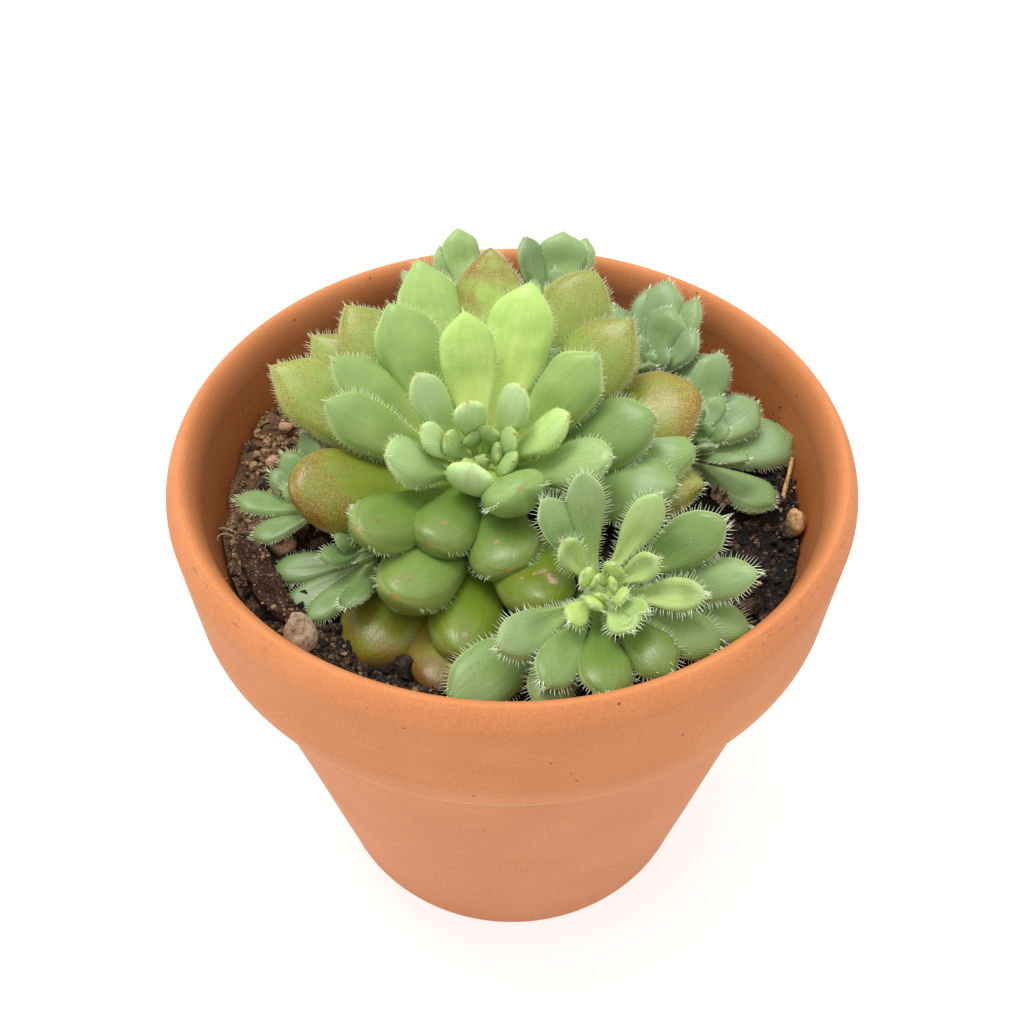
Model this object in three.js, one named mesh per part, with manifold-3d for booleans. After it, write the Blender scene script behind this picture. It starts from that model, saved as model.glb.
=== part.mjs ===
// A clay pot of rosette succulents: one mother rosette and its offsets, standing in gritty soil.
// Millimetres, +Z up. The origin is on the pot's axis, on the surface that the pot stands on.

import * as THREE from "three";
import { mergeVertices } from "three/addons/utils/BufferGeometryUtils.js";
import Module from "manifold-3d";

const wasm = await Module();
wasm.setup();

// Pot: a 10 cm thrown clay pot with a deep rim band.
const POT_SIDES = 48;
const POT_HEIGHT = 88.5;
const RIM_RADIUS = 50;
const BAND_HEIGHT = 20.3;
const BAND_FOOT_RADIUS = 49.4;
const BODY_TOP_RADIUS = 46.5;
const BASE_RADIUS = 34.4;
const EDGE_CHAMFER = 0.8;
const CREST_RADIUS = 48;
const OUTER_LIP_DROP = 3.5;
const INNER_LIP_RADIUS = 45.4;
const INNER_LIP_DROP = 6;
const FLOOR_THICKNESS = 8;
const FLOOR_RADIUS = 31.5;
const DRAIN_RADIUS = 6;
const LIP_STEPS = 3;

// Clearance between pieces that touch.
const GAP = 0.3;

// Soil: filled to a finger's width under the rim, uneven on top.
const SOIL_TOP = 75.4;
const SOIL_EDGE_CLEARANCE = 0.9;
const SOIL_RINGS = [38, 32, 25, 17, 8];
const SOIL_WAVE = 0.7;
const SOIL_RIPPLE = 0.3;

// Leaves: cross-sections along a leaf, as shares of its length.
const WIDEST_AT = 0.7;
const ROOT_WIDTH_SHARE = 0.36;
const ROOT_THICKNESS_SHARE = 0.6;
const UPPER_FACE_SHARE = 0.42;
const LOWER_FACE_SHARE = 0.58;
const SMALL_LEAF = 12;

const CLAY = 0xce8258;
const SOIL_BROWN = 0x2f2018;
const LEAF_GREEN = 0x86ad52;
const LEAF_GLAUCOUS = 0x8fae7f;
const BEIGE_STONE = 0xc2ab92;
const PINK_STONE = 0xb48a74;
const TAN_STONE = 0xc79a62;
const BARK_BROWN = 0x3c2219;
const STRAW = 0xc99a5e;

const radians = THREE.MathUtils.degToRad;

// Closed geometry to a solid, turned right side out.
function solid(geometry) {
  const bare = geometry.clone();
  for (const name of Object.keys(bare.attributes)) {
    if (name !== "position") bare.deleteAttribute(name);
  }
  const merged = mergeVertices(bare, 1e-4);
  const index = Array.from(merged.index.array);
  const triangles = [];
  for (let i = 0; i < index.length; i += 3) {
    const [a, b, c] = index.slice(i, i + 3);
    if (a !== b && b !== c && c !== a) triangles.push(a, b, c);
  }
  const points = merged.attributes.position.array;
  if (signedVolume(points, triangles) < 0) triangles.reverse();
  return new wasm.Manifold(new wasm.Mesh({
    numProp: 3,
    vertProperties: new Float32Array(points),
    triVerts: new Uint32Array(triangles),
  }));
}

function signedVolume(points, triangles) {
  const [a, b, c] = [new THREE.Vector3(), new THREE.Vector3(), new THREE.Vector3()];
  let volume = 0;
  for (let i = 0; i < triangles.length; i += 3) {
    a.fromArray(points, 3 * triangles[i]);
    b.fromArray(points, 3 * triangles[i + 1]);
    c.fromArray(points, 3 * triangles[i + 2]);
    volume += a.dot(b.cross(c)) / 6;
  }
  return volume;
}

function geometryOf(body) {
  const mesh = body.getMesh();
  const geometry = new THREE.BufferGeometry();
  geometry.setAttribute("position", new THREE.BufferAttribute(new Float32Array(mesh.vertProperties), 3));
  geometry.setIndex(new THREE.BufferAttribute(new Uint32Array(mesh.triVerts), 1));
  return geometry;
}

// The largest connected body of a solid: loose scraps left by a cut are dropped.
function mainBody(body) {
  const bodies = body.decompose();
  return bodies.reduce((best, next) => (next.volume() > best.volume() ? next : best));
}

function joined(bodies) {
  return bodies.reduce((sum, next) => sum.add(next));
}

// A lathed solid about +Z from [radius, height] pairs.
function turned(profile, sides) {
  const points = profile.map(([radius, height]) => new THREE.Vector2(radius, height));
  return new THREE.LatheGeometry(points, sides).rotateX(Math.PI / 2);
}

// Radius of the pot's inner wall at a height.
function wallRadius(height) {
  const top = POT_HEIGHT - INNER_LIP_DROP;
  const share = (height - FLOOR_THICKNESS) / (top - FLOOR_THICKNESS);
  return THREE.MathUtils.lerp(FLOOR_RADIUS, INNER_LIP_RADIUS, Math.min(share, 1));
}

function potGeometry() {
  const bandFoot = POT_HEIGHT - BAND_HEIGHT;
  const profile = [
    [DRAIN_RADIUS, 0],
    [BASE_RADIUS - EDGE_CHAMFER, 0],
    [BASE_RADIUS, EDGE_CHAMFER],
    [BODY_TOP_RADIUS, bandFoot],
    [BAND_FOOT_RADIUS - EDGE_CHAMFER, bandFoot],
    [BAND_FOOT_RADIUS, bandFoot + EDGE_CHAMFER],
  ];
  for (let i = 0; i <= LIP_STEPS; i++) {
    const angle = (i / LIP_STEPS) * (Math.PI / 2);
    const reach = RIM_RADIUS - CREST_RADIUS;
    const drop = OUTER_LIP_DROP * (1 - Math.sin(angle));
    profile.push([CREST_RADIUS + reach * Math.cos(angle), POT_HEIGHT - drop]);
  }
  for (let i = 1; i <= LIP_STEPS; i++) {
    const angle = (i / LIP_STEPS) * (Math.PI / 2);
    const reach = CREST_RADIUS - INNER_LIP_RADIUS;
    const drop = INNER_LIP_DROP * (1 - Math.cos(angle));
    profile.push([CREST_RADIUS - reach * Math.sin(angle), POT_HEIGHT - drop]);
  }
  profile.push([FLOOR_RADIUS, FLOOR_THICKNESS], [DRAIN_RADIUS, FLOOR_THICKNESS], [DRAIN_RADIUS, 0]);
  return turned(profile, POT_SIDES);
}

// Height of the soil's crumbly surface over a point of the pot.
function soilHeight(x, y) {
  const wave = Math.sin(0.21 * x + 0.8) * Math.cos(0.19 * y - 0.4);
  const ripple = Math.sin(0.62 * x - 0.35 * y) + Math.sin(0.28 * x + 0.71 * y + 1.3);
  return SOIL_TOP + SOIL_WAVE * wave + SOIL_RIPPLE * ripple;
}

function soilGeometry() {
  const profile = [
    [0, FLOOR_THICKNESS + GAP],
    [FLOOR_RADIUS - GAP, FLOOR_THICKNESS + GAP],
    [wallRadius(SOIL_TOP) - SOIL_EDGE_CLEARANCE, SOIL_TOP],
    ...SOIL_RINGS.map((radius) => [radius, SOIL_TOP]),
    [0, SOIL_TOP],
  ];
  const geometry = turned(profile, POT_SIDES);
  const points = geometry.attributes.position;
  for (let i = 0; i < points.count; i++) {
    if (points.getZ(i) > SOIL_TOP - 1) {
      points.setZ(i, soilHeight(points.getX(i), points.getY(i)));
    }
  }
  return geometry;
}

// Half-width of a leaf, as a share of its greatest, at a share of its length.
function outline(share, blunt) {
  if (share < WIDEST_AT) {
    const rise = THREE.MathUtils.smoothstep(share, 0.05, WIDEST_AT);
    return THREE.MathUtils.lerp(ROOT_WIDTH_SHARE, 1, rise);
  }
  const past = (share - WIDEST_AT) / (1 - WIDEST_AT);
  return Math.pow(1 - past * past, blunt ? 0.5 : 0.72);
}

function fullness(share) {
  if (share < WIDEST_AT) return THREE.MathUtils.lerp(ROOT_THICKNESS_SHARE, 1, share / WIDEST_AT);
  const past = (share - WIDEST_AT) / (1 - WIDEST_AT);
  return Math.sqrt(1 - past * past);
}

// Rosettes. A leaf is [turn, opening, length, width]: its turn about the stem, its angle from the
// stem's line, and its size. A longer leaf is an older one, and grows lower on the stem.
const MOTHER = {
  name: "mother_rosette",
  heart: [-4.4, -6.3, 88],
  lean: 24,
  leanTo: 270,
  stemRadius: 3.2,
  stemLength: 22,
  drop: 0.01,
  sides: 8,
  whorls: [
    {
      curl: 10, thickness: 0.5, blunt: false,
      leaves: [
        [67, 18, 5, 3.2], [17, 29, 7.5, 4], [333, 33, 7, 4.2], [168, 28, 7.5, 3.8], [256, 24, 9.5, 7.4],
      ],
    },
    {
      curl: 15, thickness: 0.42, blunt: false,
      leaves: [
        [106, 27, 11, 5.2], [47, 35, 15, 6.2], [138, 43, 17.5, 6.6], [10, 46, 17, 6.6], [172, 39, 12, 5.2],
      ],
    },
    {
      curl: 14, thickness: 0.44, blunt: false,
      leaves: [
        [74, 62, 29, 10], [98, 55, 23, 8.8], [122, 66, 28, 10.3], [36, 58, 24, 9.5], [11, 70, 26, 10.5],
        [351, 58, 21, 8.5], [148, 65, 27, 8.2], [167, 61, 25, 8], [196, 49, 16.5, 7.6],
      ],
    },
    {
      curl: 10, thickness: 0.44, blunt: false,
      leaves: [
        [108, 66, 34.5, 10], [88, 66, 35.5, 10.6], [64, 67, 34.5, 11.6], [44, 71, 31.5, 10.6],
        [22, 77, 33.5, 13], [154, 73, 35, 11.5],
      ],
    },
    {
      curl: 25, thickness: 0.6, blunt: true,
      leaves: [[304, 47, 16, 11.5], [220, 65, 25, 11], [195, 72, 28.5, 12.5], [258, 80, 34.5, 9]],
    },
    {
      curl: 36, thickness: 0.66, blunt: true,
      leaves: [
        [246, 61, 19, 10.4], [281, 65, 22, 11], [248, 74, 26, 12.5], [264, 82, 28.5, 12], [292, 77, 26, 11.5],
        [241, 88, 32.5, 15.5],
      ],
    },
    {
      curl: 8, thickness: 0.44, blunt: false,
      leaves: [
        [130, 72, 32.5, 11], [140, 77, 33, 10], [141, 83, 30.5, 9], [350, 76, 28, 10.5], [357, 82, 31.5, 11],
        [5, 80, 30.5, 10.5], [56, 84, 26, 10], [80, 84, 26, 10], [104, 84, 26, 10],
      ],
    },
  ],
};

const FRONT_OFFSET = {
  name: "front_offset",
  heart: [11.4, -28.7, 86.5],
  lean: 32,
  leanTo: 275,
  stemRadius: 2,
  stemLength: 17,
  drop: 0.0125,
  sides: 6,
  whorls: [
    { curl: 10, thickness: 0.5, blunt: false, leaves: [...ring(4, 60, 26, 4, 2.6), [225, 52, 7, 3.4]] },
    {
      curl: 8, thickness: 0.42, blunt: false,
      leaves: [
        [26, 44, 9.5, 4.6], [353, 51, 15, 5.4], [326, 47, 7.5, 3.8], [298, 47, 8, 5.6], [136, 47, 9.5, 4.6],
      ],
    },
    {
      curl: 8, thickness: 0.4, blunt: false,
      leaves: [
        [103, 51, 17.5, 6.2], [126, 58, 15, 6], [59, 48, 16.5, 6.2], [29, 56, 20, 8.2], [3, 61, 21.5, 7.2],
        [333, 71, 17, 6.6], [269, 63, 15, 8.2], [239, 61, 16.5, 7.4], [212, 61, 17.5, 7],
      ],
    },
    {
      curl: 4, thickness: 0.4, blunt: false,
      leaves: [[346, 76, 19.5, 7], [308, 62, 14, 8], [217, 74, 24, 10], [241, 72, 17, 7.5]],
    },
  ],
};

// Offsets half hidden by the mother rosette: their place, and the leaves that reach out from under it.
const SMALL_OFFSETS = [
  {
    name: "right_offset", heart: [27, 3, 83], lean: 20, leanTo: 340,
    leaves: [
      [75, 59, 17, 7.5], [40, 75, 15, 8], [60, 56, 9, 4], [13, 72, 17, 9.5],
      [300, 45, 11, 5], [321, 78, 15, 6.5],
    ],
  },
  {
    name: "right_back_offset", heart: [20.5, 18, 84], lean: 8, leanTo: 60,
    leaves: [
      [74, 46, 20.5, 7.5], [52, 52, 18.5, 6.5], [55, 36, 13.5, 6.5], [84, 30, 13, 5.2], [30, 52, 12, 6],
      [110, 60, 15, 6], [5, 72, 13, 6],
    ],
  },
  {
    name: "back_offset", heart: [7.5, 33, 87], lean: 0, leanTo: 90,
    leaves: [[139, 33, 14, 6], [81, 36, 13.5, 8], [70, 62, 14, 7], [100, 66, 12, 6], [160, 66, 12, 6]],
  },
  {
    name: "left_back_offset", heart: [-6.5, 33, 87], lean: 0, leanTo: 110,
    leaves: [[108, 39, 14.5, 7.5], [126, 50, 12, 5.5], [75, 66, 12, 6], [148, 70, 12, 6], [170, 62, 13, 5.5]],
  },
  {
    name: "left_front_offset", heart: [-19, -16.7, 82], lean: 25, leanTo: 230,
    leaves: [
      [190, 76, 15, 5.6], [206, 52, 8, 4.2], [242, 68, 14, 5.2], [265, 58, 12.5, 5.4], [216, 78, 15.5, 5.6],
    ],
  },
  {
    name: "left_offset", heart: [-27, -8.5, 82.5], lean: 25, leanTo: 185,
    leaves: [[154, 78, 16, 6.5], [200, 77, 11, 6], [137, 70, 10.5, 5.5], [122, 63, 11, 6], [103, 63, 12, 5]],
  },
];

// Stones on the soil: name, centre, half-sizes, colour, and how finely the ball is divided.
const STONES = [
  ["beige_stone", [-28.1, -28.4, 77.6], [2.9, 2.7, 3.4], BEIGE_STONE, 2],
  ["pink_pebble", [-33.4, -12.2, 77.2], [2, 1.8, 1.6], PINK_STONE, 1],
  ["pink_pebble_small", [-31.3, -15.9, 76.8], [1, 0.9, 0.9], PINK_STONE, 1],
  ["pebble_by_bark", [-37.6, -9, 77], [1.2, 0.9, 1], PINK_STONE, 1],
  ["pebble_left", [-37.4, 5.4, 77], [1.2, 1.2, 1], PINK_STONE, 1],
  ["pebble_left_back", [-36.6, 13.6, 77], [1.2, 1, 0.9], PINK_STONE, 1],
  ["tan_pebble", [41.9, -7.8, 77.4], [1.4, 2, 2.3], TAN_STONE, 1],
];

// Bark chip that leans along the pot's wall, as an arc about the pot's axis.
const BARK = { turn: 209, span: 27, radius: 39.8, thickness: 5, height: 6, middle: 76.6 };

// Dry stalk that stands in the soil and leans over.
const STALK = { foot: [39.9, -6.2, 73], tip: [42.3, 1.6, 81.6], radius: 0.42 };

// Evenly spaced leaves about a stem.
function ring(count, firstTurn, opening, length, width) {
  return Array.from({ length: count }, (_, i) => [firstTurn + (360 * i) / count, opening, length, width]);
}

function smallOffset({ name, heart, lean, leanTo, leaves }) {
  const bud = [...ring(3, 40, 22, 5, 3), ...ring(4, 95, 38, 7.5, 4)];
  return {
    name, heart, lean, leanTo,
    stemRadius: 1.8,
    stemLength: 14,
    drop: 0.0125,
    sides: 6,
    whorls: [
      { curl: 10, thickness: 0.5, blunt: false, leaves: bud },
      { curl: 6, thickness: 0.4, blunt: false, leaves },
    ],
  };
}

// From a rosette's own axes, with +Z up its stem, to the pot's.
function rosetteMatrix({ heart, lean, leanTo }) {
  const [tilt, bearing] = [radians(lean), radians(leanTo)];
  const [out, rise] = [Math.sin(tilt), Math.cos(tilt)];
  const up = new THREE.Vector3(out * Math.cos(bearing), out * Math.sin(bearing), rise);
  const across = new THREE.Vector3(1, 0, 0).projectOnPlane(up).normalize();
  const away = up.clone().cross(across);
  return new THREE.Matrix4().makeBasis(across, away, up).setPosition(...heart);
}

// A leaf in its own axes: it grows along +Z and bends towards +Y, its upper face.
function leafGeometry(length, width, whorl, mostSides, grow) {
  const bend = radians(whorl.curl);
  const radius = length / bend;
  const small = length < SMALL_LEAF;
  const shares = small ? [0, 0.4, 0.7, 0.9] : [0, 0.22, 0.46, 0.7, 0.86, 0.95];
  const sides = small ? mostSides - 2 : mostSides;
  const points = [];
  for (const share of shares) {
    const angle = bend * share;
    const [y, z] = [radius * (1 - Math.cos(angle)), radius * Math.sin(angle)];
    const half = (width / 2) * outline(share, whorl.blunt) + grow;
    const depth = width * whorl.thickness * fullness(share);
    for (let i = 0; i < sides; i++) {
      const around = (2 * Math.PI * i) / sides;
      const face = Math.sin(around) > 0 ? UPPER_FACE_SHARE : LOWER_FACE_SHARE;
      const lift = (depth * face + grow) * Math.sin(around);
      points.push(half * Math.cos(around), y + lift * Math.cos(angle), z - lift * Math.sin(angle));
    }
  }
  const tip = points.length / 3;
  points.push(0, radius * (1 - Math.cos(bend)), radius * Math.sin(bend) + grow, 0, 0, -grow);
  const triangles = [];
  const last = (shares.length - 1) * sides;
  for (let i = 0; i < sides; i++) {
    const next = (i + 1) % sides;
    for (let ringStart = 0; ringStart < last; ringStart += sides) {
      const [a, b] = [ringStart + i, ringStart + next];
      triangles.push(a, b, b + sides, a, b + sides, a + sides);
    }
    triangles.push(last + i, last + next, tip, next, i, tip + 1);
  }
  const geometry = new THREE.BufferGeometry();
  geometry.setAttribute("position", new THREE.Float32BufferAttribute(points, 3));
  geometry.setIndex(triangles);
  return geometry;
}

function leafMatrix({ stemRadius, drop }, turn, opening, length) {
  const root = new THREE.Matrix4().makeTranslation(stemRadius / 2, 0, -drop * length * length);
  return new THREE.Matrix4()
    .makeRotationZ(radians(turn))
    .multiply(root)
    .multiply(new THREE.Matrix4().makeRotationY(radians(opening)))
    .multiply(new THREE.Matrix4().makeRotationZ(Math.PI / 2));
}

function stemGeometry({ stemRadius, stemLength, sides }, grow) {
  const top = -0.6;
  const [width, foot] = [stemRadius + grow, stemRadius * 1.2 + grow];
  const profile = [[0, -stemLength - grow], [foot, -stemLength - grow], [width, top - 1.5], [0, top + grow]];
  return turned(profile, sides);
}

// A rosette fused into one body; with grow, a fatter copy that cuts the clearance round it.
function rosetteBody(rosette, grow) {
  const frame = rosetteMatrix(rosette);
  const bodies = [solid(stemGeometry(rosette, grow).applyMatrix4(frame))];
  for (const whorl of rosette.whorls) {
    for (const [turn, opening, length, width] of whorl.leaves) {
      const geometry = leafGeometry(length, width, whorl, rosette.sides, grow);
      geometry.applyMatrix4(leafMatrix(rosette, turn, opening, length)).applyMatrix4(frame);
      bodies.push(solid(geometry));
    }
  }
  return joined(bodies);
}

function piece(name, geometry, color, roughness) {
  const material = new THREE.MeshStandardMaterial({ color, roughness, metalness: 0 });
  const mesh = new THREE.Mesh(geometry, material);
  mesh.name = name;
  return mesh;
}

// A worn stone: a ball with its surface pushed in and out by slow waves.
function stoneGeometry(centre, size, detail, grow) {
  const geometry = new THREE.IcosahedronGeometry(1, detail);
  const points = geometry.attributes.position;
  const point = new THREE.Vector3();
  const half = size.map((length) => length + grow);
  for (let i = 0; i < points.count; i++) {
    point.fromBufferAttribute(points, i);
    const [x, y, z] = point.toArray();
    const wave = Math.sin(3 * x + centre[0]) * Math.cos(2.6 * y + centre[1]);
    const swell = 1 + 0.1 * wave + 0.06 * Math.sin(4 * z + x);
    points.setXYZ(i, x * swell * half[0], y * swell * half[1], z * swell * half[2]);
  }
  return geometry.translate(...centre);
}

// The chip: a slab bent round the pot's axis, with thinner ends and a broken top edge.
function barkGeometry(grow) {
  const geometry = new THREE.BoxGeometry(1, 1, 1, 12, 2, 2);
  const points = geometry.attributes.position;
  const span = BARK.span * (1 + (2 * grow) / BARK.height);
  for (let i = 0; i < points.count; i++) {
    const [along, through, up] = [points.getX(i), points.getY(i), points.getZ(i)];
    const taper = 0.55 + 0.45 * Math.cos(2.6 * along);
    const ragged = up > 0 ? 0.6 * Math.sin(17 * along + 3 * through) : 0;
    const turn = radians(BARK.turn + span * along);
    const radius = BARK.radius + (BARK.thickness * taper + 2 * grow) * through;
    const height = BARK.middle + (BARK.height * taper + 2 * grow) * up + ragged;
    points.setXYZ(i, radius * Math.cos(turn), radius * Math.sin(turn), height);
  }
  return geometry;
}

function stalkGeometry(grow) {
  const [foot, tip] = [new THREE.Vector3(...STALK.foot), new THREE.Vector3(...STALK.tip)];
  const line = tip.clone().sub(foot);
  const upright = new THREE.Vector3(0, 1, 0);
  const turn = new THREE.Quaternion().setFromUnitVectors(upright, line.clone().normalize());
  const [top, bottom] = [STALK.radius * 0.75 + grow, STALK.radius + grow];
  const geometry = new THREE.CylinderGeometry(top, bottom, line.length() + 2 * grow, 6, 1);
  return geometry.applyQuaternion(turn).translate(...foot.add(tip).divideScalar(2).toArray());
}

// A piece with the clearance that it takes: shape makes its solid, fatter by what it is given.
function fitting(name, shape, color, roughness) {
  return { name, body: shape(0), clearance: shape(GAP), color, roughness };
}

const object = new THREE.Group();
object.add(piece("pot", potGeometry(), CLAY, 0.85));

const standing = [MOTHER, FRONT_OFFSET, ...SMALL_OFFSETS.map(smallOffset)].map((rosette) => {
  const color = rosette === MOTHER ? LEAF_GREEN : LEAF_GLAUCOUS;
  return fitting(rosette.name, (grow) => rosetteBody(rosette, grow), color, 0.5);
});
const stones = STONES.map(([name, centre, size, color, detail]) => {
  return fitting(name, (grow) => solid(stoneGeometry(centre, size, detail, grow)), color, 0.9);
});
const lying = [
  ...stones,
  fitting("bark_chip", (grow) => solid(barkGeometry(grow)), BARK_BROWN, 0.95),
  fitting("dry_stalk", (grow) => solid(stalkGeometry(grow)), STRAW, 0.8),
];

// Each piece gives way to those before it, and the soil to all of them.
let soil = solid(soilGeometry());
const before = [];
for (const { name, body, clearance, color, roughness } of [...standing, ...lying]) {
  const fitted = before.reduce((rest, other) => rest.subtract(other), body);
  object.add(piece(name, geometryOf(mainBody(fitted)), color, roughness));
  before.push(clearance);
  soil = soil.subtract(clearance);
}
object.add(piece("soil", geometryOf(mainBody(soil)), SOIL_BROWN, 1));

export default object;
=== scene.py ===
"""A clay pot of rosette succulents: a leaning mother rosette and its offsets in gritty soil.

Metres, +Z up. The origin is on the pot's axis, on the surface that the pot stands on. Sizes are
named in millimetres and turned to metres where a mesh is made.
"""

from __future__ import annotations

import logging
import math
from dataclasses import dataclass
from enum import Enum

import bpy
import numpy as np
from mathutils import Matrix, Vector, noise


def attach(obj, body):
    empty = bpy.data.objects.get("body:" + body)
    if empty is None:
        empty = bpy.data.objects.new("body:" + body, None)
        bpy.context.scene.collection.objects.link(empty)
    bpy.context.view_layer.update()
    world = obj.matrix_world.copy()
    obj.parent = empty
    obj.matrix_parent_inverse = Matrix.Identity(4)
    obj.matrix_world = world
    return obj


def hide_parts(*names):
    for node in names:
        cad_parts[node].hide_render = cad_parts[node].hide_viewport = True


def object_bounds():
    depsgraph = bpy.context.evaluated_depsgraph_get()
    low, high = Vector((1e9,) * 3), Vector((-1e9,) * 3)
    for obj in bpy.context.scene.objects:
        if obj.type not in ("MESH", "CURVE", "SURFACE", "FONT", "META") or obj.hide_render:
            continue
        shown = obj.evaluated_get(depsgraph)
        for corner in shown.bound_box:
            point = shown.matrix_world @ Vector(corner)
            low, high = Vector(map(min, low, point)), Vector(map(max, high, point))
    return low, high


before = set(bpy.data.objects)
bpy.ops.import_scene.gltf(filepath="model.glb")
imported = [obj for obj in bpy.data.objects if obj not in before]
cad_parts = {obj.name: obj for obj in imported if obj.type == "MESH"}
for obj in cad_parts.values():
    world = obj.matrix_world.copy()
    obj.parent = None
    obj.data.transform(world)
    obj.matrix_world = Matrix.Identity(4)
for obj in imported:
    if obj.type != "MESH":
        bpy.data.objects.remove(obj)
CAD_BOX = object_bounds()

MM = 0.001
BODY = "root"

# Vector noise starts from the clock unless it is seeded, and each run has to give the same shapes.
NOISE_SEED = 1

# How far a point stays inside the solids' own box.
BOX_MARGIN = 0.02 * MM

log = logging.getLogger("succulents")


def linear(code: str) -> tuple[float, float, float, float]:
    """Turns an sRGB hex colour to the linear colour that a shader takes.

    Args:
        code: Six hex digits.

    Returns:
        Linear red, green and blue, and an alpha of one.
    """
    shares = [int(code[i : i + 2], 16) / 255 for i in (0, 2, 4)]
    curve = [c / 12.92 if c <= 0.04045 else ((c + 0.055) / 1.055) ** 2.4 for c in shares]
    return (*curve, 1.0)


def smoothstep(value: np.ndarray, low: float, high: float) -> np.ndarray:
    """Rises smoothly from 0 at low to 1 at high."""
    share = np.clip((np.asarray(value, float) - low) / (high - low), 0, 1)
    return share * share * (3 - 2 * share)


def between(value: np.ndarray, rise: tuple[float, float], fall: tuple[float, float]) -> np.ndarray:
    """Rises smoothly from 0 to 1 over one stretch and falls back to 0 over another."""
    return smoothstep(value, *rise) * (1 - smoothstep(value, *fall))


def bell(value: np.ndarray, width: float) -> np.ndarray:
    """Is 1 at a value of 0, and falls off smoothly on both sides of it."""
    return np.exp(-((value / width) ** 2))


def scale(size_mm: float) -> float:
    """The scale of a pattern whose cells or waves have a size in millimetres."""
    return 1 / (size_mm * MM)


def shown(sockets: list[bpy.types.NodeSocket], name: str | None = None) -> bpy.types.NodeSocket:
    """Finds the socket that a node has in use, by its name or as the first."""
    return next(one for one in sockets if one.enabled and name in (None, one.name))


class Shader:
    """The node tree of a new material or world, with one way to add a node to it."""

    def __init__(self, name: str, kind: str = "materials") -> None:
        """Starts an empty tree.

        Args:
            name: What the real material is.
            kind: What holds the tree: materials or worlds.
        """
        self.owner = getattr(bpy.data, kind).new(name)
        self.owner.use_nodes = True
        self.tree = self.owner.node_tree
        self.tree.nodes.clear()

    def add(
        self, kind: str, inputs: dict | None = None, stops: tuple = (), **settings: object
    ) -> bpy.types.Node:
        """Adds a node with its settings, values and links.

        Args:
            kind: The node's type, without the ShaderNode that it starts with.
            inputs: For each input's name or number, a value, or the node or socket that feeds it.
            stops: For a colour ramp, its places from 0 to 1, each with a hex colour.
            **settings: The node's own properties.

        Returns:
            The new node.
        """
        node = self.tree.nodes.new("ShaderNode" + kind)
        for name, value in settings.items():
            setattr(node, name, value)
        for key, value in (inputs or {}).items():
            entry = node.inputs[key] if isinstance(key, int) else shown(node.inputs, key)
            if isinstance(value, bpy.types.Node):
                value = shown(value.outputs)
            if isinstance(value, bpy.types.NodeSocket):
                self.tree.links.new(value, entry)
            else:
                entry.default_value = linear(value) if isinstance(value, str) else value
        for _ in stops[2:]:
            node.color_ramp.elements.new(0.5)
        for i, (place, code) in enumerate(stops):
            node.color_ramp.elements[i].position = place
            node.color_ramp.elements[i].color = linear(code)
        return node

    def finish(self, **inputs: object) -> bpy.types.Material:
        """Ends the tree in a Principled shader.

        Args:
            **inputs: Its inputs, with _ for each space in their names.

        Returns:
            The finished material.
        """
        named = {name.replace("_", " "): value for name, value in inputs.items()}
        shader = self.add("BsdfPrincipled", named)
        self.add("OutputMaterial", {"Surface": shader})
        return self.owner


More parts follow.
